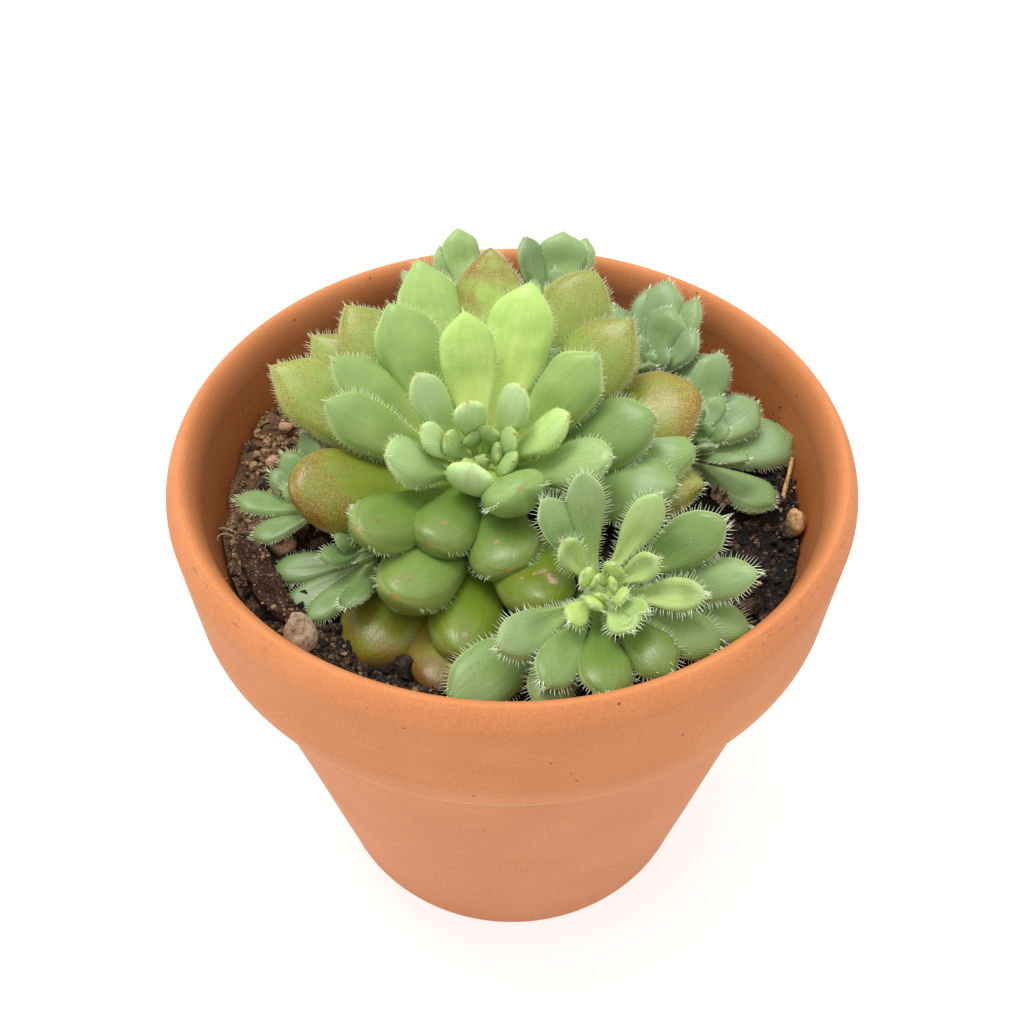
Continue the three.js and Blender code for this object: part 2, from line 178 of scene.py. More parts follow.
@dataclass(frozen=True)
class Terracotta:
    """Unglazed fired clay, thrown and turned: matt, warm, finely mottled, with pores and scuffs."""

    mottles: tuple[str, str, str] = ("C87A45", "CC7F4A", "D18653")
    grains: tuple[str, str, str] = ("B96E3E", "CC804D", "DFA070")
    # Damp clay inside the pot, which also paints the shade of its hollow.
    wet_and_shade: str = "A05412"
    dusty: str = "C98A76"
    scuff: str = "6B5A52"
    lime: str = "E9C3A0"
    pore: str = "70401F"
    grain_share: float = 0.28
    mottle_mm: float = 15.0
    grit_mm: float = 0.3
    pore_mm: float = 2.8
    pore_patch_mm: float = 9.0
    scuff_mm: float = 0.5
    ring_mm: float = 1.4
    relief_mm: float = 0.06

    def material(self) -> bpy.types.Material:
        """Makes the material: clay takes light softly, so all its life is in small colour changes."""
        s = Shader("terracotta_unglazed_clay")
        place = s.add("TexCoord").outputs["Object"]
        mark = {}
        for name in ("lip", "damp_and_shade", "lime", "below_band"):
            mark[name] = s.add("Attribute", attribute_name=name).outputs["Fac"]
        mottle = s.add("TexNoise", {"Vector": place, "Scale": scale(self.mottle_mm), "Detail": 4})
        grit = s.add("TexNoise", {"Vector": place, "Scale": scale(self.grit_mm), "Detail": 3})
        clay = s.add("ValToRGB", {0: mottle}, tuple(zip((0.36, 0.5, 0.64), self.mottles)))
        grain = s.add("ValToRGB", {0: grit}, tuple(zip((0.3, 0.5, 0.72), self.grains)))

        # Pores: rare dark pits, each a few tenths of a millimetre wide.
        pit = s.add("TexVoronoi", {"Vector": place, "Scale": scale(self.pore_mm)}).outputs["Distance"]
        pit = s.add("MapRange", {"Value": pit, "From Min": 0.085, "From Max": 0.05})
        rare = s.add("TexNoise", {"Vector": place, "Scale": scale(self.pore_patch_mm), "Detail": 1})
        rare = s.add("MapRange", {"Value": rare, "From Min": 0.5, "From Max": 0.56})
        pit = s.add("Math", {0: pit, 1: rare}, operation="MULTIPLY")

        # Scuffs: grey rubs on the lip, drawn out along it, where pots have been stacked and handled.
        around = s.add("Attribute", attribute_name="along_lip").outputs["Vector"]
        streaks = {"Vector": around, "Scale": scale(self.scuff_mm), "Detail": 4, "Roughness": 0.6}
        rub = s.add("TexNoise", streaks)
        rub = s.add("MapRange", {"Value": rub, "From Min": 0.57, "From Max": 0.64, "To Max": 0.65})
        rub = s.add("Math", {0: rub, 1: mark["lip"]}, operation="MULTIPLY")

        for amount, colour in (
            (self.grain_share, grain),
            (mark["below_band"], self.dusty),
            # The inside darkens towards the soil: partly damp clay, partly painted shade.
            (mark["damp_and_shade"], self.wet_and_shade),
            (mark["lime"], self.lime),
            (pit, self.pore),
            (rub, self.scuff),
        ):
            clay = s.add("Mix", {"Factor": amount, "A": clay, "B": colour}, data_type="RGBA")

        # Relief and tone: grit, and the faint rings that turning leaves.
        ringed = s.add("Mapping", {"Vector": place, "Scale": (0.05, 0.05, 1.0)})
        rings = s.add("TexNoise", {"Vector": ringed, "Scale": scale(self.ring_mm), "Detail": 2})
        swing = {"Value": rings, "From Min": 0.3, "From Max": 0.7, "To Min": 0.98, "To Max": 1.02}
        clay = s.add("HueSaturation", {"Value": s.add("MapRange", swing), "Color": clay})
        height = s.add("Math", {0: rings, 1: 1.5, 2: grit}, operation="MULTIPLY_ADD")
        height = s.add("Math", {0: height, 1: pit}, operation="SUBTRACT")
        bump = s.add("Bump", {"Strength": 0.3, "Distance": self.relief_mm * MM, "Height": height})
        rough = s.add("MapRange", {"Value": mottle, "To Min": 0.7, "To Max": 0.88})
        return s.finish(Base_Color=clay, Roughness=rough, Normal=bump)


class SkinShader(Shader):
    """A leaf skin's node tree, with the marks on its mesh and the noises that it is drawn from."""

    def __init__(self, skin: LeafSkin) -> None:
        """Reads the marks and adds the noises.

        Args:
            skin: The finish, which gives the name and the noises' sizes.
        """
        super().__init__(skin.name)
        self.place = self.add("TexCoord").outputs["Object"]
        mark = {}
        for name in ("on_leaf", "state", "wear", "marks", "scar"):
            vector = self.add("Attribute", attribute_name=name).outputs["Vector"]
            mark[name] = self.add("SeparateXYZ", {0: vector}).outputs
        self.along, self.across, self.thin = mark["on_leaf"]
        self.sun, self.wax, self.ripeness = mark["state"]
        self.bloomed, self.speckled, self.rusty = mark["wear"]
        self.keel_highlight, self.dot, self.chance = mark["marks"]
        self.scar = mark["scar"]
        noises = []
        for size, detail, rough in (
            (skin.cloud_mm, 3, 0.5),
            (skin.cell_mm, 2, 0.5),
            (skin.patch_mm, 5, 0.6),
            (skin.fleck_mm, 2, 0.55),
        ):
            inputs = {"Vector": self.place, "Scale": scale(size), "Detail": detail, "Roughness": rough}
            noises.append(self.add("TexNoise", inputs))
        self.cloud, self.cell, self.patch, self.fleck = noises
        self.margin = self.add("Math", {0: self.across}, operation="ABSOLUTE")


# A coat of colour: how much of it covers a point, and the colour.
Coat = tuple[bpy.types.Node | bpy.types.NodeSocket, bpy.types.Node | str]


@dataclass(frozen=True)
class LeafSkin:
    """Succulent leaf: a waxy, water-filled skin that light enters, with bloom, speckles and pale edges.

    The colours of each state of the skin run from the leaf's root over its middle to its end.
    """

    name: str
    bloom: str
    edge: str
    young: tuple[str, str, str] = ("B2CB68", "82A04A", "688A42")
    # Sunny colours, which also paint light on leaves that sit in shade.
    sunny: tuple[str, str, str] = ("EEF8A6", "E8F99C", "B8D874")
    waxy: tuple[str, str, str] = ("7C9838", "5E7C22", "667C20")
    ripe: tuple[str, str, str] = ("A3AE3E", "929C34", "8A8C30")
    rust: str = "74431C"
    gold: str = "BA9E4E"
    cork: str = "8A5024"
    # A painted highlight along the keel under the leaf.
    keel_highlight: str = "A9BC7C"
    dot: str = "B08C46"
    scar_edge: str = "86703A"
    scar_middle: str = "C2AE90"
    cloud_mm: float = 4.5
    cell_mm: float = 0.22
    patch_mm: float = 3.6
    fleck_mm: float = 0.2
    freckle_mm: float = 2.9
    relief_mm: float = 0.12
    glow_mm: float = 1.3

    def material(self) -> bpy.types.Material:
        """Makes the material: satin wax over a body that glows yellow green where it is thin."""
        s = SkinShader(self)
        skin, sunny, waxy, ripe = self.ages(s)
        # The sun share is partly painted light: some leaves in shade are given more of it.
        coats = [(s.sun, sunny), (s.wax, waxy), (s.ripeness, ripe), *self.dusted(s), *self.rusted(s)]
        # The pale line along the keel below is a painted highlight.
        coats += [(s.keel_highlight, self.keel_highlight), (self.freckles(s), self.gold), (s.dot, self.dot), *self.scarred(s)]
        for amount, colour in coats:
            skin = s.add("Mix", {"Factor": amount, "A": skin, "B": colour}, data_type="RGBA")

        # Faint streaks run along each leaf, and each leaf has a tone of its own.
        streak = s.add("CombineXYZ", {0: s.along, 1: s.across, 2: s.chance})
        streak = s.add("Mapping", {"Vector": streak, "Scale": (2.5, 6.0, 40.0)})
        streak = s.add("TexNoise", {"Vector": streak, "Scale": 1.0, "Detail": 3})
        tone = s.add("MapRange", {"Value": s.chance, "To Min": 0.9, "To Max": 1.08})
        for grain, low, high in ((s.cell, 0.93, 1.07), (streak, 0.95, 1.05)):
            swing = {"Value": grain, "From Min": 0.3, "From Max": 0.7, "To Min": low, "To Max": high}
            tone = s.add("Math", {0: tone, 1: s.add("MapRange", swing)}, operation="MULTIPLY")

        height = s.add("Math", {0: s.cell, 1: 0.5, 2: s.cloud}, operation="MULTIPLY_ADD")
        height = s.add("Math", {0: streak, 1: 1.2, 2: height}, operation="MULTIPLY_ADD")
        return s.finish(
            Base_Color=s.add("HueSaturation", {"Value": tone, "Color": skin}),
            Roughness=s.add("MapRange", {"Value": s.wax, "To Min": 0.36, "To Max": 0.28}),
            Normal=s.add("Bump", {"Strength": 0.5, "Distance": self.relief_mm * MM, "Height": height}),
            Specular_IOR_Level=0.42,
            Subsurface_Weight=0.2,
            Subsurface_Radius=(0.9, 1.0, 0.25),
            Subsurface_Scale=self.glow_mm * MM,
        )

    def ages(self, s: SkinShader) -> list[bpy.types.Node]:
        """Colours the skin by how far out on the leaf a point is, with soft clouds in it and painted shade at
        its edges.

        Args:
            s: The skin's node tree.

        Returns:
            The young, the sunny and lit, the waxy and the ripe skin.
        """
        drift = s.add("Math", {0: s.cloud, 1: 0.5}, operation="SUBTRACT")
        drift = s.add("Math", {0: drift, 1: 0.8, 2: s.along}, operation="MULTIPLY_ADD")
        # Painted shade: near the edges the colour shifts towards the leaf end's darker colours.
        side = s.add("Math", {0: s.margin, 1: 3.0}, operation="POWER")
        drift = s.add("Math", {0: side, 1: 0.15, 2: drift}, operation="MULTIPLY_ADD")
        return [
            s.add("ValToRGB", {0: drift}, tuple(zip((0.12, 0.5, 0.9), colours)))
            for colours in (self.young, self.sunny, self.waxy, self.ripe)
        ]

    def dusted(self, s: SkinShader) -> list[Coat]:
        """Dusts young leaves with grey green bloom, rubbed off in clouds, and pales their thin edges.

        Args:
            s: The skin's node tree.

        Returns:
            The two coats.
        """
        powder = s.add("MapRange", {"Value": s.cloud, "From Min": 0.3, "From Max": 0.62, "To Min": 0.6})
        outward = s.add("MapRange", {"Value": s.along, "From Min": 0.1, "From Max": 0.65})
        for share in (outward, s.bloomed):
            powder = s.add("Math", {0: powder, 1: share}, operation="MULTIPLY")
        rim = s.add("MapRange", {"Value": s.margin, "From Min": 0.9, "To Max": 0.6})
        rim = s.add("Math", {0: rim, 1: s.thin}, operation="MULTIPLY")
        return [(powder, self.bloom), (rim, self.edge)]

    def rusted(self, s: SkinShader) -> list[Coat]:
        """Spreads rust in from the tip and the edges, with gold flecks and corky dots crowded there.

        Args:
            s: The skin's node tree.

        Returns:
            The coats of rust, gold and cork.
        """
        reach = s.add("Math", {0: s.margin, 1: 0.25, 2: s.along}, operation="MULTIPLY_ADD")
        reach = s.add("Math", {0: s.patch, 1: 0.9, 2: reach}, operation="MULTIPLY_ADD")
        blush = s.add("Math", {0: s.rusty, 1: 0.5, 2: reach}, operation="MULTIPLY_ADD")
        blush = s.add("MapRange", {"Value": blush, "From Min": 1.72, "From Max": 2.15, "To Max": 0.85})
        blush = s.add("Math", {0: blush, 1: s.rusty}, operation="MULTIPLY")
        field = s.add("Math", {0: s.patch, 1: 0.7, 2: reach}, operation="MULTIPLY_ADD")
        field = s.add("MapRange", {"Value": field, "From Min": 1.5, "From Max": 1.95})
        field = s.add("Math", {0: field, 1: s.speckled}, operation="MULTIPLY")
        within = s.add("MapRange", {"Value": field, "From Max": 0.25})
        coats = [(blush, self.rust)]
        for crowding, start, full, colour in ((0.09, 0.61, 0.66, self.gold), (-0.09, 0.37, 0.32, self.cork)):
            speck = s.add("Math", {0: field, 1: crowding, 2: s.fleck}, operation="MULTIPLY_ADD")
            speck = s.add("MapRange", {"Value": speck, "From Min": start, "From Max": full, "To Max": 0.75})
            coats.append((s.add("Math", {0: speck, 1: within}, operation="MULTIPLY"), colour))
        return coats

    def freckles(self, s: SkinShader) -> bpy.types.Node:
        """Sets a few single pale freckles on every leaf.

        Args:
            s: The skin's node tree.

        Returns:
            How much they cover a point.
        """
        spot = s.add("TexVoronoi", {"Vector": s.place, "Scale": scale(self.freckle_mm)})
        spot = s.add("MapRange", {"Value": spot.outputs["Distance"], "From Min": 0.06, "From Max": 0.03})
        some = s.add("MapRange", {"Value": s.patch, "From Min": 0.52, "From Max": 0.6, "To Max": 0.6})
        return s.add("Math", {0: spot, 1: some}, operation="MULTIPLY")

    def scarred(self, s: SkinShader) -> list[Coat]:
        """Draws each scar: a corky patch round a paler middle, ragged at the edge.

        Args:
            s: The skin's node tree.

        Returns:
            The coats of the patch and of its middle.
        """
        along, across, healed = s.scar
        out = s.add("Math", {0: along, 1: along}, operation="MULTIPLY")
        out = s.add("Math", {0: across, 1: across, 2: out}, operation="MULTIPLY_ADD")
        ragged = s.add("Math", {0: s.patch, 1: s.fleck}, operation="ADD")
        out = s.add("Math", {0: ragged, 1: 3.0, 2: out}, operation="MULTIPLY_ADD")
        patch = s.add("MapRange", {"Value": out, "From Min": 4.2, "From Max": 3.4, "To Max": 0.6})
        middle = s.add("MapRange", {"Value": out, "From Min": 3.5, "From Max": 3.0, "To Max": 0.75})
        middle = s.add("Math", {0: middle, 1: healed}, operation="MULTIPLY")
        return [(patch, self.scar_edge), (middle, self.scar_middle)]


@dataclass(frozen=True)
class LeafHair:
    """Cilia: glassy white hairs, yellow on the youngest leaves."""

    white: str = "DEE6C6"
    yellow: str = "E2D878"
    glow_mm: float = 0.3

    def material(self) -> bpy.types.Material:
        """Makes the material: thin and clear enough to glow against a dark gap."""
        s = Shader("leaf_cilia")
        youth = s.add("Attribute", attribute_name="youth").outputs["Fac"]
        return s.finish(
            Base_Color=s.add("ValToRGB", {0: youth}, ((0.0, self.white), (1.0, self.yellow))),
            Roughness=0.45,
            Subsurface_Weight=0.3,
            Subsurface_Scale=self.glow_mm * MM,
        )


@dataclass(frozen=True)
class Mineral:
    """A rough mineral or earthy surface: a main colour, a dark in its pits and a light on its grains."""

    name: str
    main: str
    dark: str
    light: str
    grain_mm: float
    relief_mm: float

    def material(self) -> bpy.types.Material:
        """Makes the material: matt and broken up at two scales, so that it reads as crumbly."""
        s = Shader(self.name)
        place = s.add("TexCoord").outputs["Object"]
        coarse, fine = (
            s.add("TexNoise", {"Vector": place, "Scale": scale(size), "Detail": 4, "Roughness": 0.65})
            for size in (4 * self.grain_mm, self.grain_mm)
        )
        both = s.add("Math", {0: coarse, 1: fine}, operation="ADD")
        tint = s.add("Attribute", attribute_name="tint").outputs["Fac"]
        both = s.add("Math", {0: both, 1: 0.5, 2: tint}, operation="MULTIPLY_ADD")
        stops = ((0.38, self.dark), (0.5, self.main), (0.68, self.light))
        return s.finish(
            Base_Color=s.add("ValToRGB", {0: both}, stops),
            Roughness=0.95,
            Normal=s.add("Bump", {"Strength": 0.7, "Distance": self.relief_mm * MM, "Height": fine}),
        )


@dataclass(frozen=True)
class StudioPaper:
    """A white light table, which glows from below so that shadows on it stay faint."""

    white: str = "B8B8B7"
    glow: float = 0.6

    def material(self) -> bpy.types.Material:
        """Makes the material: plain matt white, all its sheen lost in its own light."""
        s = Shader("light_table")
        return s.finish(
            Base_Color=self.white,
            Roughness=1.0,
            Specular_IOR_Level=0.0,
            Emission_Color="FFFFFF",
            Emission_Strength=self.glow,
        )


GREEN_SKIN = LeafSkin("leaf_skin_green", bloom="C0D89E", edge="CFE08C")
PALE_SKIN = LeafSkin(
    "leaf_skin_glaucous",
    bloom="A0B684",
    edge="C2D098",
    young=("B0C878", "86A45C", "6E8C4C"),
    sunny=("EAF4AC", "CFE48A", "B0CA70"),
)
SHADED_SKIN = LeafSkin(
    "leaf_skin_shaded",
    bloom="90A87A",
    edge="B4C48E",
    young=("A2BC76", "7F9C5E", "6E8A52"),
    sunny=("C8D892", "AFC67C", "93AE68"),
)
SOIL_MIX = Mineral("potting_mix", main="1A110A", dark="050302", light="725639", grain_mm=0.4, relief_mm=0.3)
SOIL_GRIT = Mineral("soil_crumb", main="4E3826", dark="170E08", light="A88A62", grain_mm=0.3, relief_mm=0.2)
BEIGE_PUMICE = Mineral(
    "beige_pumice", main="BEA283", dark="84664D", light="DCC8AC", grain_mm=0.6, relief_mm=0.05
)
PINK_PUMICE = Mineral(
    "pink_pumice", main="B68C70", dark="7C5540", light="D6B79C", grain_mm=0.3, relief_mm=0.12
)
TAN_PUMICE = Mineral("tan_pumice", main="C79B66", dark="8F673C", light="E0C294", grain_mm=0.45, relief_mm=0.1)
BARK_FIBRE = Mineral("bark", main="2A150C", dark="100704", light="52301F", grain_mm=0.35, relief_mm=0.35)
STRAW_FIBRE = Mineral("dry_straw", main="D0A566", dark="9A733F", light="E6C993", grain_mm=0.3, relief_mm=0.05)
DEAD_ROOT = Mineral("dead_root", main="8C7354", dark="57432E", light="B39C7A", grain_mm=0.3, relief_mm=0.05)
DRY_SKIN = Mineral("dry_leaf", main="56402D", dark="2A1C12", light="A88D68", grain_mm=0.3, relief_mm=0.1)


def deselect() -> None:
    """Deselects every object, so that an operator acts only on what is made next."""
    for thing in bpy.context.selected_objects:
        thing.select_set(False)


def alone(thing: bpy.types.Object) -> None:
    """Makes one object the only selected and the active one."""
    deselect()
    thing.select_set(True)
    bpy.context.view_layer.objects.active = thing


def settle(thing: bpy.types.Object, name: str, material: bpy.types.Material) -> bpy.types.Object:
    """Names a finished piece, gives it its material and puts its place into its mesh.

    Args:
        thing: The piece.
        name: Its name.
        material: Its only material.

    Returns:
        The piece.
    """
    alone(thing)
    bpy.ops.object.transform_apply(location=True, rotation=True, scale=True)
    thing.name = thing.data.name = name
    thing.data.materials.clear()
    thing.data.materials.append(material)
    return thing


def points_of(mesh: bpy.types.Mesh) -> np.ndarray:
    """The mesh's vertices as rows of x, y and z."""
    flat = np.empty(3 * len(mesh.vertices))
    mesh.vertices.foreach_get("co", flat)
    return flat.reshape(-1, 3)


def set_points(mesh: bpy.types.Mesh, points: np.ndarray) -> None:
    """Moves the mesh's vertices to rows of x, y and z."""
    mesh.vertices.foreach_set("co", np.ascontiguousarray(points, float).ravel())
    mesh.update()


def paint(mesh: bpy.types.Mesh, name: str, values: np.ndarray) -> None:
    """Stores one number or vector for each vertex, for the material to read.

    Args:
        mesh: The mesh.
        name: The attribute's name.
        values: One number, or a row of three, for each vertex.
    """
    values = np.asarray(values, np.float32)
    kind, slot = ("FLOAT", "value") if values.ndim == 1 else ("FLOAT_VECTOR", "vector")
    layer = mesh.attributes.new(name, kind, "POINT")
    layer.data.foreach_set(slot, values.ravel())


def joined(things: list[bpy.types.Object]) -> bpy.types.Object:
    """Joins objects into the first of them."""
    alone(things[0])
    for thing in things[1:]:
        thing.select_set(True)
    bpy.ops.object.join()
    return things[0]


def smooth(thing: bpy.types.Object, degrees: float = 180) -> None:
    """Shades the faces smoothly where they meet at less than an angle."""
    alone(thing)
    bpy.ops.object.shade_smooth_by_angle(angle=math.radians(degrees))


def inside_box(points: np.ndarray) -> np.ndarray:
    """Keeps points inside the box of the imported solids."""
    low, high = CAD_BOX
    return np.clip(points, np.array(low) + BOX_MARGIN, np.array(high) - BOX_MARGIN)


def roughened(points: np.ndarray, grain: float, depth: float, seed: float = 0.0) -> np.ndarray:
    """Pushes points about by a soft noise.

    Args:
        points: Rows of x, y and z.
        grain: The size of the noise's waves.
        depth: The furthest that a point moves.
        seed: A shift that gives each piece its own noise.

    Returns:
        The moved points.
    """
    shift = Vector((seed, 2 * seed, 3 * seed))
    push = [noise.turbulence_vector(Vector(point) / grain + shift, 3, False) for point in points]
    return points + depth * np.array([tuple(v) for v in push])


def spun(path: list[Vector], steps: int) -> bpy.types.Object:
    """Draws a section by extruding a point along it, and spins it about the pot's axis.

    Args:
        path: The section's corners, in metres.
        steps: How many steps the turn takes.

    Returns:
        The closed shape.
    """
    deselect()
    bpy.ops.mesh.primitive_plane_add(size=MM, location=path[0])
    thing = bpy.context.object
    bpy.ops.object.transform_apply(location=True, rotation=True, scale=True)
    bpy.ops.object.mode_set(mode="EDIT")
    bpy.ops.mesh.merge(type="CENTER")
    for before, after in zip(path, path[1:]):
        bpy.ops.mesh.extrude_vertices_move(TRANSFORM_OT_translate={"value": after - before})
    bpy.ops.mesh.select_all(action="SELECT")
    bpy.ops.mesh.spin(steps=steps, angle=2 * math.pi, center=(0, 0, 0), axis=(0, 0, 1))
    bpy.ops.mesh.select_all(action="SELECT")
    bpy.ops.mesh.remove_doubles(threshold=0.01 * MM)
    bpy.ops.mesh.normals_make_consistent(inside=False)
    bpy.ops.object.mode_set(mode="OBJECT")
    return thing


@dataclass(frozen=True)
class Crumbs:
    """Crumbs of one kind: their number, their radii in millimetres and how dark to how light they are.

    A radius is the least one and a random rest, of more on average, up to the greatest.
    """

    name: str
    count: int
    least: float
    more: float
    tint: tuple[float, float]
    greatest: float = math.inf
    ball_rounds: int = 1
    lumpy: tuple[float, float] = (0.66, 1.25)
    stretched: tuple[float, float] = (0.65, 1.25)

    def sizes(self, draw: np.random.Generator) -> np.ndarray:
        """Draws each crumb's radius."""
        return np.minimum(self.least + draw.exponential(self.more, self.count), self.greatest)

    def tints(self, draw: np.random.Generator) -> np.ndarray:
        """Draws how much lighter each crumb is than its kind."""
        return draw.uniform(*self.tint, self.count)

    def piece(
        self, spots: np.ndarray, sizes: np.ndarray, tints: np.ndarray, draw: np.random.Generator
    ) -> bpy.types.Object:
        """Copies a coarse ball to each spot and makes each copy a lump of its own.

        Args:
            spots: Each crumb's centre in millimetres.
            sizes: Each crumb's radius in millimetres.
            tints: How much lighter each crumb is than its kind.
            draw: The random numbers.

        Returns:
            The crumbs as one piece.
        """
        deselect()
        bpy.ops.mesh.primitive_ico_sphere_add(subdivisions=self.ball_rounds, radius=1)
        ball = bpy.context.object
        shape = points_of(ball.data)
        faces = np.array([tuple(face.vertices) for face in ball.data.polygons])
        bpy.data.objects.remove(ball)
        points = []
        for spot, size in zip(spots, sizes):
            lumps = draw.uniform(*self.lumpy, (len(shape), 1)) * draw.uniform(*self.stretched, 3)
            spin = Matrix.Rotation(draw.uniform(0, 2 * math.pi), 3, draw.uniform(0.1, 1, 3).tolist())
            points.append((shape * lumps * size) @ np.array(spin) + spot)
        first = np.arange(len(spots))[:, None, None] * len(shape)
        mesh = bpy.data.meshes.new(self.name)
        mesh.from_pydata((np.vstack(points) * MM).tolist(), [], (faces + first).reshape(-1, 3).tolist())
        crumbs = bpy.data.objects.new(self.name, mesh)
        bpy.context.scene.collection.objects.link(crumbs)
        paint(mesh, "tint", np.repeat(tints, len(shape)))
        smooth(crumbs, 32)
        return settle(crumbs, self.name, SOIL_GRIT.material())


@dataclass(frozen=True)
class Pot:
    """The clay pot, with its sizes in millimetres."""

    height: float = 88.5
    rim_radius: float = 50.0
    band_height: float = 20.3
    band_foot_radius: float = 49.4
    body_top_radius: float = 46.5
    base_radius: float = 34.4
    edge_radius: float = 0.5
    crest_radius: float = 48.0
    outer_lip_drop: float = 3.5
    lip_roundness: float = 1.5
    inner_lip_radius: float = 45.4
    inner_lip_drop: float = 6.0
    floor_thickness: float = 8.0
    floor_radius: float = 31.5
    drain_radius: float = 6.0
    turns: int = 192
    round_steps: int = 14
    wall_step: float = 3.2
    unevenness: float = 0.12
    # Below this height the inside is darkest: damp clay and painted shade.
    damp_and_shade_line: float = 76.0
    lime_line: float = 0.22
    lime_width: float = 0.2
    scuff_line: float = 0.9
    scuff_width: float = 0.55
    scuffed: tuple[tuple[float, float], ...] = ((-149, -125), (-55, -27))

    def wall_radius(self, height: float) -> float:
        """The radius of the inner wall at a height, both in millimetres."""
        top = self.height - self.inner_lip_drop
        share = min((height - self.floor_thickness) / (top - self.floor_thickness), 1)
        return self.floor_radius + share * (self.inner_lip_radius - self.floor_radius)

    def profile(self) -> list[tuple[float, float]]:
        """The wall's section, from the drainage hole round the lip and back, as radius and height."""
        foot, edge = self.height - self.band_height, self.edge_radius
        quarter = [i * math.pi / 2 / self.round_steps for i in range(self.round_steps + 1)]
        rounding = [(edge * (1 - math.sin(a)), edge * (1 - math.cos(a))) for a in quarter]
        points = [(self.drain_radius, 0)]
        points += [(self.base_radius - back, up) for back, up in rounding]
        points += [(self.body_top_radius, foot)]
        points += [(self.band_foot_radius - back, foot + up) for back, up in rounding]
        reach, drop, corner = self.rim_radius - self.crest_radius, self.outer_lip_drop, self.lip_roundness
        for a in quarter:
            out, down = reach * abs(math.cos(a)) ** corner, drop * (1 - math.sin(a) ** corner)
            points.append((self.crest_radius + out, self.height - down))
        reach, drop = self.crest_radius - self.inner_lip_radius, self.inner_lip_drop
        for a in quarter[1:]:
            points.append((self.crest_radius - reach * math.sin(a), self.height - drop * (1 - math.cos(a))))
        points += [(self.floor_radius, self.floor_thickness), (self.drain_radius, self.floor_thickness)]
        return points

    def build(self) -> bpy.types.Object:
        """Divides the section's long runs and spins it into the pot."""
        corners = [Vector((radius * MM, 0, height * MM)) for radius, height in self.profile()]
        path = [corners[0]]
        for start, end in zip(corners, corners[1:] + corners[:1]):
            steps = max(1, round((end - start).length / (self.wall_step * MM)))
            path += [start.lerp(end, (i + 1) / steps) for i in range(steps)]
        pot = spun(path, self.turns)
        self.weather(pot)
        smooth(pot, 35)
        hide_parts("pot")
        return settle(pot, "clay_pot", Terracotta().material())

    def weather(self, pot: bpy.types.Object) -> None:
        """Gives the thrown wall its slight unevenness; marks lime, rubs, and damp with painted shade inside.

        Args:
            pot: The spun pot.
        """
        points = points_of(pot.data)
        radius, height = np.hypot(points[:, 0], points[:, 1]), points[:, 2] / MM
        turn = np.arctan2(points[:, 1], points[:, 0])
        sway = 0.5 + 0.3 * np.sin(3 * turn + 0.07 * height) + 0.2 * np.sin(7 * turn - 0.19 * height)
        off_base = smoothstep(height, 1.5, 4)
        points[:, :2] *= (1 - self.unevenness * MM * (sway * off_base / radius))[:, None]
        set_points(pot.data, points)
        radius = radius / MM
        inner = np.array([self.wall_radius(h) for h in height])
        inside = 1 - smoothstep(radius, inner + 0.6, inner + 2.4)
        foot = self.height - self.band_height
        outer_band = radius > self.body_top_radius + 0.5
        lip = smoothstep(height, self.height - 2.2, self.height - 0.6)
        marks = {
            # Darker inside, most near the soil: partly damp, partly painted shade of the hollow.
            "damp_and_shade": inside * (0.25 + 0.55 * smoothstep(-height, -self.height + 2, -self.damp_and_shade_line)),
            "lime": bell(height - foot - self.lime_line, self.lime_width) * outer_band,
            "below_band": 0.14 * (1 - smoothstep(height, foot - 0.2, foot + 0.1)) * (1 - inside),
            "lip": lip * self.rubbed(np.degrees(turn), radius),
            "along_lip": np.stack([0.25 * self.rim_radius * MM * turn, radius * MM, height * MM], axis=1),
        }
        for name, values in marks.items():
            paint(pot.data, name, values)

    def rubbed(self, turn: np.ndarray, radius: np.ndarray) -> np.ndarray:
        """Where the lip is rubbed: just outside its crest, over two stretches at the front."""
        line = bell(radius - self.crest_radius - self.scuff_line, self.scuff_width)
        return line * sum(between(turn, (a - 3, a + 3), (b - 3, b + 3)) for a, b in self.scuffed)


POT = Pot()


